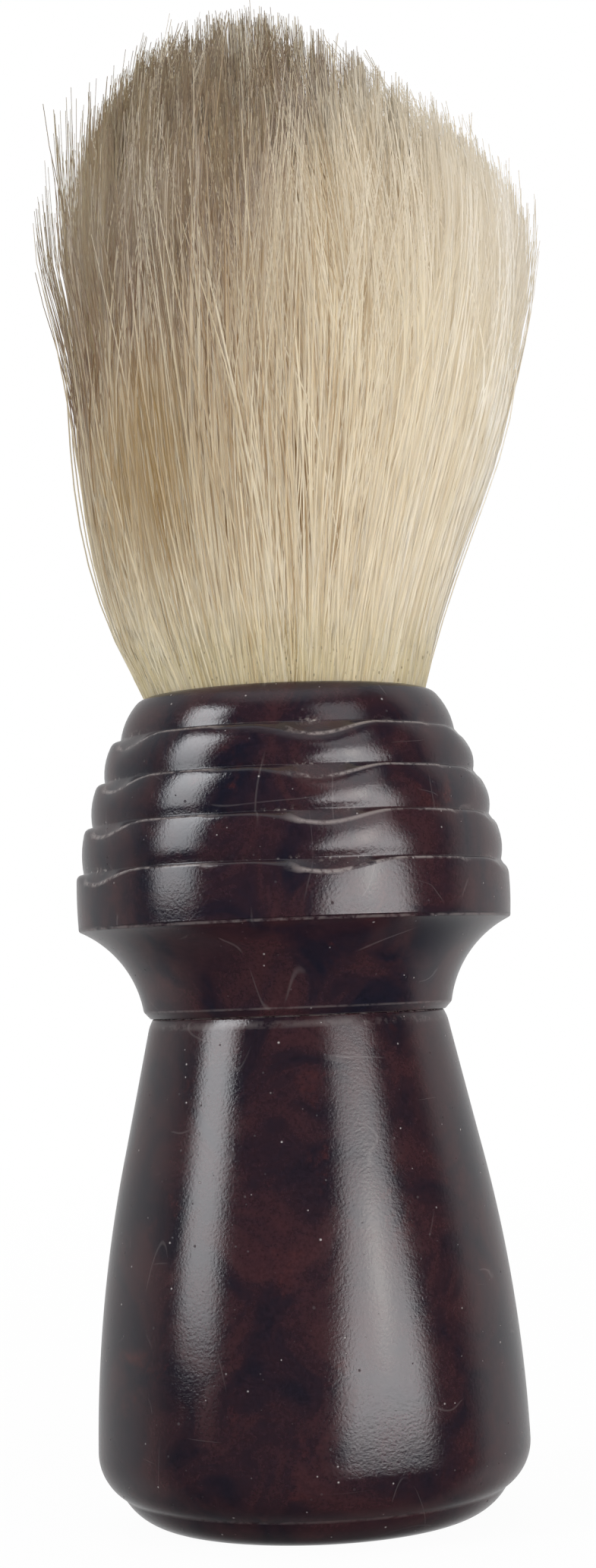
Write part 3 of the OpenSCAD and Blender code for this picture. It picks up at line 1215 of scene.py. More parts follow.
@dataclass
class Collar:
    """Upper moulding: cove, rim, and four tiers whose shoulders dip in a wave.

    Places round a dip are degrees to its right.
    """

    finish: PhenolicFinish
    columns: int = 480
    foot_bevel: Reach = (0.42, 0.55)
    # The third number of an edge is its wear with a painted highlight.
    foot_rounding: Edge = Edge(0.06, 4, 0.4)
    bevel_rounding: Edge = Edge(0.12, 4, 0.3)
    neck_r: float = 11.63
    cove_drop: float = 0.6
    cove_steps: int = 40
    rim_z: float = 6.8
    rim_land: float = 0.3
    rim_rounding: Edge = Edge(0.2, 7, 0.45)
    land_rounding: Edge = Edge(0.12, 4)
    band_h: float = 4.3
    dome_arc_r: float = 42.0
    groove_count: int = 4
    groove_rounding: Edge = Edge(0.10, 5)
    tier_growth: float = 1.05
    tier_step: float = 0.55
    tier_land: float = 0.04
    # Wear with a painted highlight along the crisp tier edges.
    tier_wear_and_highlight: float = 0.9
    bulge: tuple[float, ...] = (0.28, 0.28, 0.26, 0.20, 0.05)
    bulge_steps: int = 7
    wave_count: int = 5
    wave_depth: float = 0.95
    wave_half_angle: float = 21.0
    wave_phase: float = 9.0
    crisp: float = 0.22
    soft: float = 0.85
    shoulder_steps: int = 9
    soft_begins: Reach = (-34.0, -27.0)
    soft_ends: Reach = (-12.0, -5.0)
    soap_level: Reach = (0.12, 0.6)
    soap_begins: Reach = (-24.0, -8.0)
    soap_ends: Reach = (2.0, 14.0)
    lip_r: float = 11.15
    lip_rounding: Edge = Edge(0.8, 9)
    mouth_r: float = 10.75
    mouth_rounding: Edge = Edge(0.2, 4)
    flare_z: float = 54.475
    flare_swell: float = 0.62
    throat_r: float = 7.75
    throat_rounding: Edge = Edge(0.6, 5)
    seat_r: float = 8.3
    seat_clearance: float = 0.15
    flange_top: float = 49.9
    socket_r: float = 9.1
    socket_bevel: float = 0.7
    socket_rounding: Edge = Edge(0.1, 3)

    def __post_init__(self) -> None:
        """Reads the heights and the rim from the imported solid."""
        low, high = node_box("collar")
        self.seam_z, self.lip_z = float(low[2]), float(high[2])
        self.rim_r = float(high[0])
        self.rim_edge_z = self.seam_z + self.rim_z
        self.spigot_top = float(node_box("handle")[1][2])
        tiers_h = self.lip_z - self.rim_edge_z - self.band_h
        down = np.cumsum([self.tier_growth**i for i in range(self.groove_count)])
        self.groove_z = [float(self.lip_z - tiers_h * share / down[-1]) for share in down]
        centre = arc_centre((self.rim_r, self.rim_edge_z), (self.lip_r, self.lip_z), self.dome_arc_r)
        self.groove_r = [
            centre[0] + math.sqrt(self.dome_arc_r**2 - (z - centre[1])**2) for z in self.groove_z]

    def from_dip(self) -> Array:
        """Finds how far each column is from the nearest dip.

        Returns:
            Degrees to the right of the dip.
        """
        turn = np.arange(self.columns) * 360.0 / self.columns
        pitch = 360.0 / self.wave_count
        return (turn - (self.wave_phase - 90.0) + pitch / 2) % pitch - pitch / 2

    def cove(self, line: Outline) -> None:
        """Draws the foot, the cove and the rim.

        Args:
            line: The outline so far.
        """
        cove_r = tangent_r(self.rim_r - self.neck_r, self.rim_z + self.cove_drop)
        centre = (self.neck_r + cove_r, self.seam_z - self.cove_drop)
        bevel_in, bevel_up = self.foot_bevel
        start = math.pi - math.asin((self.cove_drop + bevel_up) / cove_r)
        end = math.atan2(self.rim_edge_z - centre[1], self.rim_r - centre[0])
        start_r = centre[0] + cove_r * math.cos(start)
        line.add(self.neck_r - bevel_in, self.seam_z, *self.foot_rounding)
        line.add(start_r, self.seam_z + bevel_up, *self.bevel_rounding)
        line.arc(centre, cove_r, (start, end), self.cove_steps)
        line.add(self.rim_r, self.rim_edge_z, *self.rim_rounding)
        line.add(self.rim_r, self.rim_edge_z + self.rim_land, *self.land_rounding)

    def tiers(self, line: Outline) -> None:
        """Draws the tiers from the band up to the lip.

        Args:
            line: The outline so far.
        """
        off = self.from_dip()
        dip = np.cos(np.clip(np.abs(off) / self.wave_half_angle, 0.0, 1.0) * math.pi / 2)**2
        softened = ease(off, *self.soft_begins) * (1 - ease(off, *self.soft_ends))
        rounding = self.crisp + (self.soft - self.crisp) * softened
        pool = ease(off, *self.soap_begins) * (1 - ease(off, *self.soap_ends))
        soap = self.soap_level[0] + self.soap_level[1] * pool
        foot = (self.rim_r, self.rim_edge_z + self.rim_land)
        for i in reversed(range(self.groove_count)):
            top = (self.groove_r[i] + self.tier_step, self.groove_z[i])
            down = (self.tier_land + self.wave_depth * dip) / (top[1] - foot[1])
            edge = (top[0] + (foot[0] - top[0]) * down, top[1] + (foot[1] - top[1]) * down)
            line.bowed(foot, edge, self.bulge[i + 1], self.bulge_steps)
            # The crisp part of each shoulder gets wear with a painted highlight.
            line.add(*edge, rounding, self.shoulder_steps, wear=self.tier_wear_and_highlight * (1 - softened))
            foot = (self.groove_r[i], self.groove_z[i])
            line.add(*foot, *self.groove_rounding, residue=soap)
        lip = (self.lip_r, self.lip_z)
        line.bowed(foot, lip, self.bulge[0], self.bulge_steps)
        line.add(*lip, *self.lip_rounding)

    def bore(self, line: Outline) -> None:
        """Draws the hollow from the mouth down to the seam.

        Args:
            line: The outline so far.
        """
        seat_z = self.flange_top + self.seat_clearance
        chamber_z = self.spigot_top + self.seat_clearance
        flare_r = self.throat_r + self.flare_swell * (self.mouth_r - self.throat_r)
        line.add(self.mouth_r, self.lip_z, *self.mouth_rounding)
        line.add(flare_r, (self.lip_z + self.flare_z) / 2)
        line.add(self.throat_r, self.flare_z, *self.throat_rounding)
        line.add(self.throat_r, seat_z + self.seat_r - self.throat_r)
        line.add(self.seat_r, seat_z)
        line.add(self.seat_r, chamber_z)
        line.add(self.socket_r, chamber_z)
        line.add(self.socket_r, self.seam_z + self.socket_bevel, *self.socket_rounding)
        line.add(self.socket_r + self.socket_bevel, self.seam_z, *self.socket_rounding)

    def build(self) -> list[bpy.types.Object]:
        """Builds and dresses the moulding.

        Returns:
            The one piece.
        """
        line = Outline(self.columns)
        for draw in (self.cove, self.tiers, self.bore):
            draw(line)
        piece = line.mesh(closed=True).link("collar_moulding")
        return [dress(piece, Body.COLLAR, self.finish.material(), "collar")]


@dataclass(frozen=True)
class Layer:
    """Bristles at one depth of the knot, drawn with as many points as show."""

    name: str
    node: str
    share: Reach
    count: int
    start_z: float
    stations: int
    bend: float = 0.0
    lean: float = 0.03
    bow: float = 0.4
    thick: Reach = (0.085, 0.15)
    # Mean tone of the layer; lower for the layers beneath the skin, as painted shade between the strands.
    tone: float = 0.6
    shades: bool = True


@dataclass(frozen=True)
class Growth:
    """How single bristles differ from the run of their layer.

    A trio holds the share of the bristle itself, of its lock and of its clump. Wild bristles lie across
    their neighbours, and strays stand away from the bundle, most of them on the left.
    """

    turn: float = 0.02
    wild_share: float = 0.07
    wild_lean: float = 0.1
    wild_fall: float = 9.0
    stray_share: Reach = (0.006, 0.05)
    stray_side: Reach = (0.75, 0.95)
    stray_depth: float = 0.9
    stray_spread: Reach = (0.03, 0.12)
    stray_rise: float = 6.0
    own_bend: float = 0.1
    stiff: float = 0.45
    stiff_side: Reach = (0.5, 0.95)
    own_lean: float = 0.6
    own_spread: float = 0.012
    pull: Reach = (0.3, 0.95)
    rise: float = 0.9
    clump_rise: float = 0.5
    worn: float = 1.1
    most_worn: float = 7.0
    most_bow: float = 1.5
    bow_turn: float = 0.3
    tone: Trio = (0.10, 0.16, 0.2)
    loose: Trio = (0.25, 0.3, 0.45)


@dataclass(frozen=True)
class Stains:
    """Where the bristles have taken up stain, where painted light makes them paler on the right, and where
    they are paler towards the bottom; in millimetres to the right and up.
    """

    least_taken: float = 0.06
    taken_loose: Reach = (0.3, 0.68)
    pale_guard: float = 0.74
    top_z: Reach = (96.0, 110.0)
    top_fray: float = 4.0
    top_right: Reach = (0.0, 11.0)
    top_right_loss: float = 0.8
    top_left: Reach = (2.0, 12.0)
    top_left_gain: float = 0.7
    top_level: float = 3.0
    left_x: Reach = (-6.0, 13.0)
    left_z: Reach = (63.0, 94.0)
    left_level: Reach = (0.36, 1.4)
    most_stain: float = 0.97
    patch_at: Reach = (-9.5, 78.0)
    patch_size: Reach = (4.0, 8.0)
    patch_front: Reach = (-4.0, 6.0)
    patch_level: float = 1.9
    patch_even: float = 0.05
    most_patch: float = 0.85
    # Painted light: the right side, and more so its edge, is made paler.
    lit_side_x: Reach = (-2.0, 13.0)
    lit_side_level: Reach = (0.42, 0.25)
    lit_edge_x: Reach = (11.0, 20.0)
    lit_edge_level: float = 0.35
    low_z: Reach = (60.0, 84.0)
    low_level: float = 0.14
    root_z: Reach = (0.5, 7.0)
    root_level: Reach = (0.25, 0.45)

    def marks(self, points: Array, tone: Array, loose: Array, lip_z: float) -> dict[Mark, Array]:
        """Works out each point's tone, with painted light on the right side, then its grey tip, amber patch
        and yellowed root.

        Args:
            points: Places in the bundle.
            tone: How pale each point's bristle is; the layers beneath the skin are darker, as painted
                shade.
            loose: How readily it has taken up stain, 0 to 1.
            lip_z: Height of the collar's lip.

        Returns:
            The marks for the finish.
        """
        x, y, z = points.T
        open_share = self.least_taken + (1 - self.least_taken) * ease(loose, *self.taken_loose)
        taken = open_share * (1 - self.pale_guard * tone)
        top = ease(z + self.top_fray * loose - x, *self.top_z)
        top = top * (1 - self.top_right_loss * ease(x, *self.top_right))
        top = top * (1 + self.top_left_gain * ease(-x, *self.top_left))
        left = ease(-x, *self.left_x) * ease(z, *self.left_z)
        left_stain = left * (self.left_level[0] + self.left_level[1] * taken)
        across = (x - self.patch_at[0]) / self.patch_size[0]
        along = (z - self.patch_at[1]) / self.patch_size[1]
        patch = np.exp(-across**2 - along**2) * ease(-y, *self.patch_front)
        patch = self.patch_level * patch * (self.patch_even + (1 - self.patch_even) * loose)
        # Painted light: paler towards the right side and its edge.
        pale = (self.lit_side_level[0] - self.lit_side_level[1] * tone) * ease(x, *self.lit_side_x)
        pale = pale + self.lit_edge_level * ease(x, *self.lit_edge_x)
        root = 1 - ease(z, lip_z + self.root_z[0], lip_z + self.root_z[1])
        return {
            Mark.TONE: tone + pale + self.low_level * (1 - ease(z, *self.low_z)),
            Mark.STAIN: np.clip(self.top_level * top * taken + left_stain, 0, self.most_stain),
            Mark.AMBER: np.clip(patch, 0, self.most_patch),
            Mark.ROOT: root * (self.root_level[0] + self.root_level[1] * loose),
        }


@dataclass
class Knot:
    """Bristles bound at the root, flaring out of the collar to a worn dome."""

    finish: BristleFinish
    growth: Growth = Growth()
    stains: Stains = Stains()
    sides: int = 3
    seed: int = 41
    root_z: float = 50.1
    root_r: float = 7.0
    flare_z: float = 54.475
    flare_power: float = 1.22
    bulb_r: float = 18.7
    bulb_z: float = 33.6
    dome_power: Reach = (1.1, 0.58)
    dome_shift: float = 1.5
    dome_back: float = 2.8
    dome_back_z: Reach = (98.0, 111.0)
    dome_rows: int = 60
    dome_spare: float = 2.0
    waist: float = 0.45
    waist_z: float = 66.0
    splay: float = 2.8
    splay_z: Reach = (68.0, 93.0)
    lock_size: int = 70
    clump_size: int = 12
    bend_in: Reach = (0.55, 1.1)
    pull_in: Reach = (0.3, 1.0)
    bow_span: float = 0.9
    least_lean_r: float = 3.0
    tip_thin: float = 0.4
    thin_from: float = 0.65
    own_shade: float = 0.45
    shade_tall: float = 2.0
    mass_share: float = 0.95
    mass_depth: float = 6.0
    mass_grid: tuple[int, int] = (60, 360)
    mass_ridge: float = 0.006
    mass_narrow: float = 0.25
    mass_narrow_z: Reach = (72.0, 98.0)
    mass_play: float = 0.02
    mass_loose: float = 0.47
    map_width: float = 2.4
    map_spare: float = 4.0
    map_edge: float = 0.002
    # Layers whose shades is false cast no shadows; those beneath the skin get lower tones, as painted shade
    # between the strands.
    layers: tuple[Layer, ...] = (
        Layer("bristles_core", "bristle_core", (0.0, 0.333), 1000, 92.0, 6),
        Layer("bristles_inner", "bristle_ring_inner", (0.333, 0.555), 1900, 90.0, 6),
        Layer("bristles_middle", "bristle_ring_middle", (0.555, 0.777), 3000, 84.0, 7),
        Layer("bristles_outer", "bristle_ring_outer", (0.777, 0.94), 3300, 74.0, 9,
              bend=0.25, tone=0.38, shades=False),
        Layer("bristles_under", "bristle_ring_outer", (0.94, 0.97), 2700, 50.1, 14,
              bend=0.5, lean=0.07, bow=0.6, tone=0.32, shades=False),
        Layer("bristles_skin", "bristle_ring_outer", (0.965, 0.985), 2200, 50.1, 14,
              bend=0.55, lean=0.09, bow=0.6, thick=(0.075, 0.135), tone=0.47, shades=False),
        Layer("bristles_long", "bristle_ring_outer", (0.98, 0.995), 950, 50.1, 18,
              bend=0.62, lean=0.13, bow=0.8, thick=(0.10, 0.17), tone=0.78, shades=False),
    )

    def __post_init__(self) -> None:
        """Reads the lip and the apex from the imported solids."""
        self.lip_z = float(node_box("collar")[1][2])
        self.apex_z = float(node_box("bristle_core")[1][2])
        self.bulb_top = self.lip_z + self.bulb_z

    def bundle_r(self, z: Array) -> Array:
        """Works out the radius of the whole bundle at a height.

        Args:
            z: The heights.

        Returns:
            The radii.
        """
        t = np.clip((z - self.flare_z) / (self.bulb_top - self.flare_z), 0.0, 1.0)
        flare = (1 - (1 - t)**self.flare_power)**(1 / self.flare_power)
        return self.root_r + (self.bulb_r - self.root_r) * flare

    def dome_r(self, z: Array) -> Array:
        """Radius at which the worn dome cuts the tips at a height."""
        t = np.clip((z - self.bulb_top) / (self.apex_z - self.bulb_top), 0.0, 1.0)
        return self.bulb_r * (1 - t**self.dome_power[0])**self.dome_power[1]

    def sway(self, z: Array) -> Array:
        """How much wider the right side has splayed than the left at a height."""
        return self.splay * ease(z, *self.splay_z) - self.waist * ease(z, self.lip_z, self.waist_z)

    def middle(self, z: Array) -> Array:
        """How far the worn dome's middle lies to the right at a height."""
        return self.dome_shift - self.dome_back * ease(z, *self.dome_back_z)

    def strands(self, layer: Layer, seed: int) -> dict[str, Array]:
        """Draws up where each bristle of a layer stands and how it grows.

        Args:
            layer: The layer.
            seed: Start of its random draws.

        Returns:
            One array for each quality, by name.
        """
        rng = np.random.default_rng(seed)
        own, n = self.growth, layer.count
        share = np.sqrt(rng.uniform(layer.share[0]**2, layer.share[1]**2, n))
        angle = np.arange(n) * math.pi * GOLDEN_TURN + rng.normal(0, own.turn, n)
        spot = share[:, None] * facing(angle)
        near = []
        for size in (self.lock_size, self.clump_size):
            seats = rng.choice(n, n // size, replace=False)
            near.append(seats[np.argmin(((spot[:, None] - spot[None, seats])**2).sum(2), 1)])
        lock, clump = near
        wild = rng.random(n) < own.wild_share
        left = ease(-np.cos(angle), *own.stray_side)
        stray = rng.random(n) < own.stray_share[0] + own.stray_share[1] * left
        stray &= share > own.stray_depth
        drift, own_bend, lock_tone, clump_rise = rng.normal(0, 1, (4, n))
        bend = layer.bend * np.clip(rng.uniform(0.0, 1.0, n)[clump] + own.own_bend * own_bend, 0.0, 1.0)
        bend *= 1 - own.stiff * ease(np.cos(angle), *own.stiff_side)
        lean = layer.lean * (drift[lock] + rng.normal(0, own.own_lean, n))
        lean = lean + wild * rng.normal(0, own.wild_lean, n)
        spread = rng.normal(0, own.own_spread, n) - bend * ~stray
        spread = spread + stray * rng.uniform(*own.stray_spread, n)
        pull = rng.uniform(*own.pull, n) * ~wild * ~stray
        rise = own.rise + own.clump_rise * clump_rise[clump]
        rise = rise - np.minimum(rng.exponential(own.worn, n), own.most_worn)
        rise = rise - wild * rng.uniform(0.0, own.wild_fall, n)
        rise = rise + stray * rng.uniform(0.0, own.stray_rise, n)
        bow = layer.bow * np.clip(rng.normal(0, 1, n), -own.most_bow, own.most_bow)
        bow_way = angle + math.pi / 2 + rng.normal(0, own.bow_turn, n)
        thick = rng.uniform(*layer.thick, n)
        tone = rng.normal(layer.tone, own.tone[0], n)
        tone = tone + own.tone[1] * lock_tone[lock] + own.tone[2] * clump_rise[clump]
        loose = [part * rng.random(n)[group] for part, group in zip(own.loose, (slice(None), lock, clump))]
        return {
            "share": share, "angle": angle, "lean": lean, "spread": spread, "clump": clump, "pull": pull,
            "rise": rise, "bow": bow, "bow_way": bow_way, "thick": thick, "tone": np.clip(tone, 0.0, 1.0),
            "loose": loose[0] + loose[1] + loose[2], "twist": rng.uniform(0, 2 * math.pi, n),
        }

    def trail(self, s: dict[str, Array], z: Array, t: Array) -> Array:
        """Works out where bristles pass, before they bend into clumps.

        Args:
            s: The bristles' qualities.
            z: Heights, one row for each bristle.
            t: Share of the length at those heights.

        Returns:
            Points across the axis, in millimetres.
        """
        above = np.maximum(z - self.flare_z, 0.0)
        bent = ease(t, *self.bend_in) / ease(1.0, *self.bend_in)
        share = np.maximum(s["share"][:, None] + s["spread"][:, None] * bent, 0.0)
        lean_r = np.maximum(share * self.bulb_r, self.least_lean_r)
        a = s["angle"][:, None] + s["lean"][:, None] * above / lean_r
        r = share * (self.bundle_r(z) + self.sway(z) * np.cos(a))
        return r[..., None] * facing(a)

    def tips(self, s: dict[str, Array]) -> Array:
        """Finds the heights at which the worn dome ends the bristles.

        Args:
            s: The bristles' qualities.

        Returns:
            One height for each bristle.
        """
        z = np.linspace(self.bulb_top - self.dome_spare, self.apex_z, self.dome_rows)
        rows = np.broadcast_to(z, (len(s["share"]), len(z)))
        at = self.trail(s, rows, np.ones_like(rows))
        inside = np.hypot(at[:, :, 0] - self.middle(z), at[:, :, 1]) <= self.dome_r(z)
        last = np.where(inside.any(1), len(z) - 1 - np.argmax(inside[:, ::-1], 1), 0)
        return z[last] + s["rise"]

    def mesh(self, s: dict[str, Array], layer: Layer) -> Mesh:
        """Draws bristles as thin tapered rods.

        Args:
            s: The bristles' qualities.
            layer: Their layer.

        Returns:
            The mesh, with tone and stains.
        """
        length = (self.tips(s) - self.root_z)[:, None]
        first = (layer.start_z - self.root_z) / length
        t = first + (1 - first) * np.linspace(0, 1, layer.stations)
        z = self.root_z + length * t
        own = self.trail(s, z, t)
        leader = {key: s[key][s["clump"]] for key in ("share", "angle", "lean", "spread")}
        pull = (s["pull"][:, None] * ease(t, *self.pull_in))[:, :, None]
        bow = (s["bow"][:, None] * np.sin(math.pi * self.bow_span * t)**2)[:, :, None]
        middle = own + (self.trail(leader, z, t) - own) * pull + bow * facing(s["bow_way"])[:, None, :]
        thin = 1 - (1 - self.tip_thin) * ease(t, self.thin_from, 1.0)
        size = (s["thick"][:, None] * thin / 2)[:, :, None, None]
        way = facing(s["twist"][:, None] + circle(self.sides))[:, None]
        points = np.empty((layer.count, layer.stations, self.sides, 3))
        points[..., :2] = middle[:, :, None, :] + size * way
        points[..., 2] = z[:, :, None]
        rings = np.arange(points[..., 0].size).reshape(points.shape[:3])
        made = Mesh(points, ring_quads(rings), np.concatenate([rings[:, 0, ::-1], rings[:, -1]]))
        own_shade = np.zeros_like(points)
        own_shade[..., :2] = self.own_shade * way
        made.normals = self.outward(made.points) + own_shade.reshape(-1, 3)
        each = layer.stations * self.sides
        self.stain(made, np.repeat(s["tone"], each), np.repeat(s["loose"], each))
        return made

    def outward(self, points: Array) -> Array:
        """Finds which way the bundle's surface faces, so that bristles shade as one mass.

        Args:
            points: Places in the bundle.

        Returns:
            One direction for each place, of length 1.
        """
        x, y, z = points.T
        rise = z - self.bulb_top
        below = self.shade_tall * (self.bulb_top - self.flare_z)
        tall = np.where(rise > 0, self.apex_z - self.bulb_top, below)
        way = np.stack([x / self.bulb_r**2, y / self.bulb_r**2, rise / tall**2], 1)
        return way / np.maximum(np.linalg.norm(way, axis=1, keepdims=True), TINY)

    def stain(self, made: Mesh, tone: Array, loose: Array) -> None:
        """Marks a mesh's stains, and lays it out flat as seen from the front.

        Args:
            made: The mesh of bristles.
            tone: How pale each point's bristle is; the layers beneath the skin are darker, as painted
                shade.
            loose: How readily it has taken up stain, 0 to 1.
        """
        made.marks = self.stains.marks(made.points, tone, loose, self.lip_z)
        x, z = made.points[:, 0], made.points[:, 2]
        across = 0.5 + x / (self.map_width * self.bulb_r)
        along = (z - self.root_z) / (self.apex_z + self.map_spare - self.root_z)
        made.map = np.stack([across, along], 1).clip(self.map_edge, 1 - self.map_edge)

    def mass(self) -> Mesh:
        """Draws the packed bristles inside, where single ones no longer show.

        Returns:
            The mesh, stained as the bristles are but at the darkest tone, as painted shade deep in the
            knot.
        """
        rng = np.random.default_rng(self.seed)
        rows, columns = self.mass_grid
        turn = circle(columns)
        z = np.linspace(self.root_z, self.apex_z - self.mass_depth, rows)[:, None]
        ridge = 1 + self.mass_ridge * rng.normal(0, 1, columns)
        share = self.mass_share * (1 - self.mass_narrow * ease(z, *self.mass_narrow_z))
        reach = share * (self.bundle_r(z) + self.sway(z) * np.cos(turn))
        off = self.middle(z)
        dome = np.maximum(self.dome_r(z + self.mass_depth), np.abs(off) + self.mass_play)
        cut = off * np.cos(turn) + np.sqrt(dome**2 - (off * np.sin(turn))**2)
        points = round_axis(np.minimum(reach, cut) * ridge, z, turn).reshape(-1, 3)
        rings = np.arange(rows * columns).reshape(rows, columns)
        ends = np.array([[0.0, 0.0, z[0, 0]], [0.0, 0.0, z[-1, 0]]])
        made = Mesh(np.concatenate([points, ends]), ring_quads(rings), pole_fans(rings, len(points)))
        count = len(made.points)
        # Tone 0 gives the darkest colour: painted shade deep among the bristles.
        self.stain(made, np.zeros(count), np.full(count, self.mass_loose))
        return made

    def build(self) -> list[bpy.types.Object]:
        """Builds and dresses the bristles, layer by layer.

        Returns:
            The pieces.
        """
        material = self.finish.material()
        mass = self.mass().link("bristles_mass")
        made = [dress(mass, Body.KNOT, material, "bristle_core")]
        for seed, layer in enumerate(self.layers, self.seed + 1):
            piece = self.mesh(self.strands(layer, seed), layer).link(layer.name)
            piece.visible_shadow = layer.shades
            made.append(dress(piece, Body.KNOT, material, layer.node))
        return made


@dataclass
class Binding:
    """Waxed cord wound round the roots of the bristles."""

    finish: TwineFinish
    root_r: float = 7.0
    cord_d: float = 0.6
    cord_slack: float = 0.98
    turns: int = 5
    around: int = 72
    sides: int = 10

    def build(self) -> list[bpy.types.Object]:
        """Builds and dresses the winding.

        Returns:
            The one piece.
        """
        low, high = node_box("knot_binding")
        steps = (np.arange(self.turns * self.around + 1) / self.around)[:, None]
        rise = (high[2] - low[2] - self.cord_d) / self.turns
        size = self.cord_d / 2 * self.cord_slack
        ring = circle(self.sides)
        r = self.root_r + self.cord_d / 2 + size * np.cos(ring)
        z = low[2] + self.cord_d / 2 + steps * rise + size * np.sin(ring)
        points = round_axis(r, z, steps * 2 * math.pi)
        rings = np.arange(z.size).reshape(z.shape)
        first, last = rings[0], rings[-1]
        fans = np.concatenate([
            np.stack([np.full(self.sides - 2, first[0]), first[1:-1], first[2:]], 1),
            np.stack([np.full(self.sides - 2, last[0]), last[2:], last[1:-1]], 1)])
        piece = Mesh(points, ring_quads(rings)[..., ::-1], fans).link("binding_cord")
        return [dress(piece, Body.KNOT, self.finish.material(), "knot_binding")]


@dataclass
class Packing:
    """The cork washer and the cement plug, which keep the solids' shapes."""

    cork: GranularFinish = GranularFinish(
        "cork_packing", ground=(0.36, 0.21, 0.10), cloud=(0.46, 0.29, 0.15), fleck=(0.22, 0.11, 0.05),
        pore=(0.10, 0.05, 0.025), cloud_scale=260.0, pores=SpeckSizes(700.0, 0.45, 0.3),
        gloss=(0.77, 0.93), depth=0.00012)
    cement: GranularFinish = GranularFinish(
        "set_cement", ground=(0.20, 0.15, 0.08), cloud=(0.27, 0.21, 0.12), fleck=(0.33, 0.27, 0.17),
        pore=(0.09, 0.07, 0.04), cloud_scale=180.0, pores=SpeckSizes(900.0, 0.45, 0.12),
        gloss=(0.42, 0.58), depth=0.00005)

    def build(self) -> list[bpy.types.Object]:
        """Gives both solids their finishes.

        Returns:
            The solids.
        """
        made = []
        for name, finish in (("packing_washer", self.cork), ("knot_plug", self.cement)):
            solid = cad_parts[name]
            solid.data.materials.clear()
            solid.data.materials.append(finish.material())
            made.append(solid)
        return made


@dataclass(frozen=True)
class SoftLight:
    """A soft studio light, placed by its direction from the brush.

    The fade is its level at the foot and the head, and the taper is the share of its width that is left at
    the head.
    """

    name: str
    turn: float
    rise: float
    size: Reach
    strength: float
    colour: Colour
    distance: float = 0.6
    mirrored: bool = True
    fade: Reach = (1.0, 1.0)
    taper: float = 1.0
    soft: float = 0.12

    def build(self, aim: Vector) -> None:
        """Hangs the light.

        Args:
            aim: The point that it faces.
        """
        turn, rise = math.radians(self.turn), math.radians(self.rise)
        way = Vector((math.sin(turn) * math.cos(rise), -math.cos(turn) * math.cos(rise), math.sin(rise)))
        lamp = bpy.data.lights.new(self.name, "AREA")
        lamp.shape = "RECTANGLE"
        lamp.size, lamp.size_y = self.size
        lamp.energy = self.strength * math.pi * self.size[0] * self.size[1]
        lamp.color = self.colour
        if self.fade != (1.0, 1.0) or self.taper != 1.0:
            self.veil(lamp)
        stand = into_scene(bpy.data.objects.new(self.name, lamp))
        stand.location = aim + way * self.distance
        stand.rotation_euler = way.to_track_quat("Z", "Y").to_euler()
        stand.visible_glossy = self.mirrored

    def veil(self, lamp: bpy.types.Light) -> None:
        """Dims and narrows the light from its foot to its head, as a curtain does.

        Args:
            lamp: The light.
        """
        lamp.use_nodes = True
        lamp.node_tree.nodes.clear()
        tree = Tree(lamp.node_tree)
        out = tree.node("ShaderNodeOutputLight")
        over = tree.split(tree.node("ShaderNodeNewGeometry").outputs["Parametric"])
        level = tree.remap(over["Y"], 0.0, 1.0, self.fade)
        half = tree.remap(over["Y"], 0.0, 1.0, (0.5, 0.5 * self.taper))
        off = tree.math("ABSOLUTE", tree.minus(over["X"], 0.5))
        open_share = tree.remap(tree.minus(half, off), 0.0, self.soft)
        glow = tree.node("ShaderNodeEmission", {"Strength": tree.times(level, open_share)})
        tree.feed(out.inputs["Surface"], glow.outputs[0])


COOL_WHITE: Colour = (0.96, 0.975, 1.0)
CLEAR_WHITE: Colour = (1.0, 0.985, 1.0)
LAMP_WHITE: Colour = (1.0, 0.93, 0.84)
SOFT_WHITE: Colour = (1.0, 0.99, 0.97)


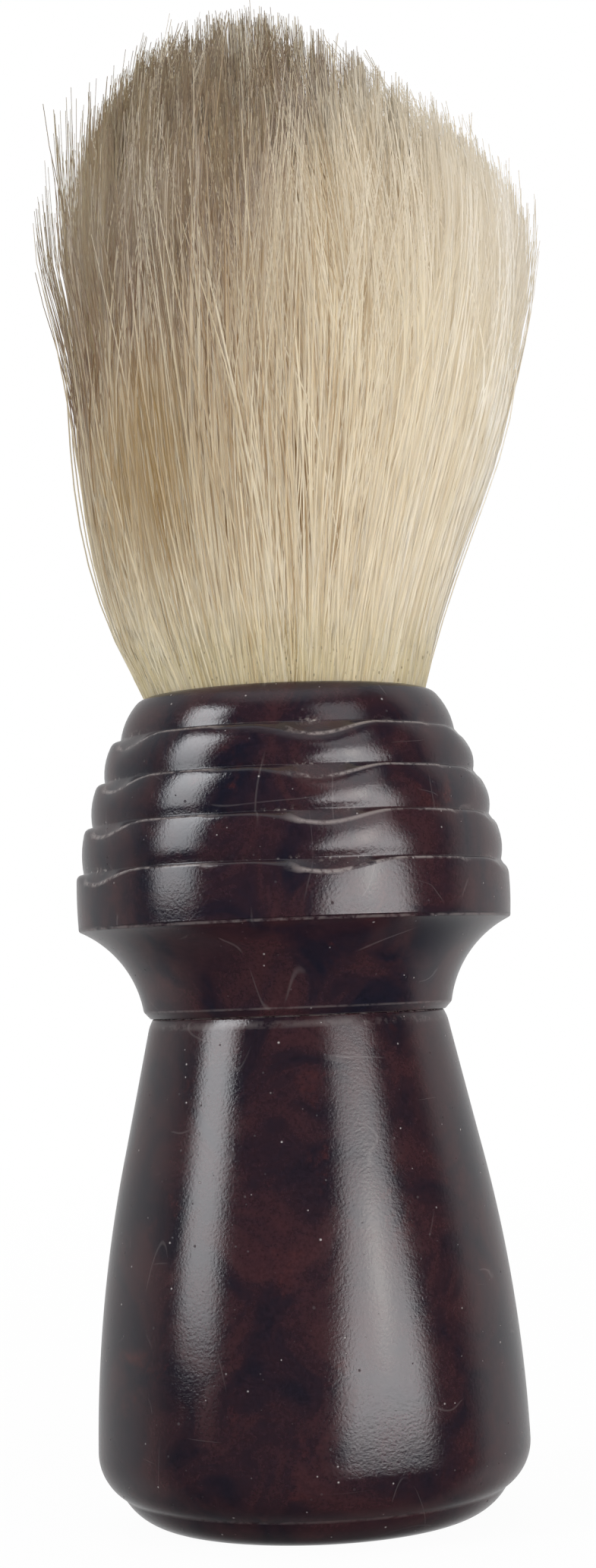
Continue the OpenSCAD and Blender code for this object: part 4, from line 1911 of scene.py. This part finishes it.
@dataclass
class Studio:
    """Pale floor, white surround, soft lights and the camera.

    The surround's places are directions from -1 to 1: to the right, to the back and up.
    """

    focal: float = 64.5
    sensor: float = 36.0
    distance: float = 213.9
    eye_z: float = 40.5
    eye_x: float = 0.08
    rise: float = 0.128
    roll: float = -2.2
    nearest: float = 0.01
    floor_half: float = 1.5
    floor_colour: Colour = (0.85, 0.85, 0.85)
    floor_white_r: Reach = (0.05, 0.45)
    floor_white: Reach = (0.965, 1.0)
    white: Colour = (1.0, 1.0, 1.0)
    wall_turn: Reach = (-0.4, 0.4)
    wall_begins: Reach = (-0.35, -0.06)
    wall_ends: Reach = (0.42, 0.32)
    wall_side: Reach = (-0.9, 0.9)
    wall_level: Reach = (0.46, 0.58)
    wall_foot: Reach = (-0.85, -0.35)
    wall_foot_level: Reach = (0.2, 1.0)
    ceiling_up: Reach = (0.75, 0.95)
    ceiling_level: Reach = (0.03, 0.7)
    lights: tuple[SoftLight, ...] = (
        SoftLight("left_window", -64.0, 22.5, (0.27, 0.50), 5.1, COOL_WHITE, fade=(0.76, 1.45), soft=0.07),
        SoftLight("right_window", 39.0, 5.2, (0.62, 0.315), 4.4, CLEAR_WHITE, fade=(1.12, 0.8), taper=0.62),
        SoftLight("front_fill", 29.0, 8.0, (0.62, 0.315), 2.2, CLEAR_WHITE, mirrored=False),
        SoftLight("right_upper_window", 39.0, 33.0, (0.30, 0.30), 1.4, CLEAR_WHITE),
        SoftLight("right_lamp", 40.0, 7.5, (0.085, 0.14), 3.2, LAMP_WHITE, distance=0.58),
        SoftLight("back_window", 180.0, 45.0, (0.90, 0.60), 0.9, SOFT_WHITE, mirrored=False),
    )

    def camera(self) -> None:
        """Sets the camera at the photograph's viewing angle."""
        lens = bpy.data.cameras.new("camera")
        lens.lens, lens.sensor_width = self.focal, self.sensor
        lens.clip_start = self.nearest
        lens.shift_y = self.rise
        stand = into_scene(bpy.data.objects.new("camera", lens))
        stand.location = (self.eye_x * MM, -self.distance * MM, self.eye_z * MM)
        level = Matrix.Rotation(math.radians(90.0), 3, "X")
        stand.rotation_euler = (level @ Matrix.Rotation(math.radians(self.roll), 3, "Z")).to_euler()
        bpy.context.scene.camera = stand

    def floor(self) -> None:
        """Lays the pale floor, which keeps the brush's shadow."""
        half = self.floor_half
        corners = [(-half, -half, 0), (half, -half, 0), (half, half, 0), (-half, half, 0)]
        mesh = bpy.data.meshes.new("floor")
        mesh.from_pydata(corners, [], [(0, 1, 2, 3)])
        ground = into_scene(bpy.data.objects.new("floor", mesh))
        material, tree, surface = blank_material("floor_white")
        ray = tree.node("ShaderNodeLightPath")
        plain = tree.node("ShaderNodeBsdfDiffuse", {"Color": self.floor_colour})
        white = tree.node("ShaderNodeEmission", {"Color": self.white, "Strength": 1.0})
        away = tree.node("ShaderNodeVectorMath", {0: tree.place()}, operation="LENGTH")
        lit_white = tree.remap(away.outputs["Value"], *self.floor_white_r, self.floor_white)
        share = tree.times(ray.outputs["Is Camera Ray"], lit_white)
        both = tree.node("ShaderNodeMixShader", {0: share, 1: plain.outputs[0], 2: white.outputs[0]})
        tree.feed(surface, both.outputs[0])
        mesh.materials.append(material)
        ground.visible_glossy = False

    def surround(self) -> None:
        """Sets the world: white to the camera and behind the brush, dim in front."""
        world = bpy.data.worlds.new("surround")
        bpy.context.scene.world = world
        world.use_nodes = True
        world.node_tree.nodes.clear()
        tree = Tree(world.node_tree)
        out = tree.node("ShaderNodeOutputWorld")
        way = tree.split(tree.place("Generated"))
        begins = tree.remap(way["X"], *self.wall_turn, self.wall_begins)
        ends = tree.remap(way["X"], *self.wall_turn, self.wall_ends)
        level = tree.remap(way["X"], *self.wall_side, self.wall_level)
        wall = tree.times(tree.remap(way["Y"], begins, ends), level)
        wall = tree.times(wall, tree.remap(way["Z"], *self.wall_foot, self.wall_foot_level))
        room = tree.most(wall, tree.remap(way["Z"], *self.ceiling_up, self.ceiling_level))
        ray = tree.node("ShaderNodeLightPath")
        seen = tree.most(room, ray.outputs["Is Camera Ray"])
        sky = tree.node("ShaderNodeBackground", {"Color": self.white, "Strength": seen})
        tree.feed(out.inputs["Surface"], sky.outputs[0])

    def build(self) -> None:
        """Builds the studio."""
        bpy.context.scene.view_settings.view_transform = "Standard"
        self.camera()
        self.floor()
        self.surround()
        middle = Vector((0.0, 0.0, (CAD_BOX[0].z + CAD_BOX[1].z) / 2))
        for light in self.lights:
            light.build(middle)


def main() -> None:
    """Builds the studio and the brush, and reports each piece."""
    logging.basicConfig(level=logging.INFO, format="%(name)s: %(message)s")
    Studio().build()
    brush = (
        Handle(PhenolicFinish("phenolic_handle", shift=(0.0, 0.0, 0.0))),
        Collar(PhenolicFinish("phenolic_collar", shift=(0.2, 0.6, 0.9), ground=(0.0082, 0.0078, 0.0146))),
        Knot(BristleFinish()),
        Binding(TwineFinish()),
        Packing(),
    )
    for assembly in brush:
        for piece in assembly.build():
            finish = piece.data.materials[0].name
            LOG.info("%s has %d faces, finished as %s", piece.name, len(piece.data.polygons), finish)


if __name__ == "__main__":
    main()
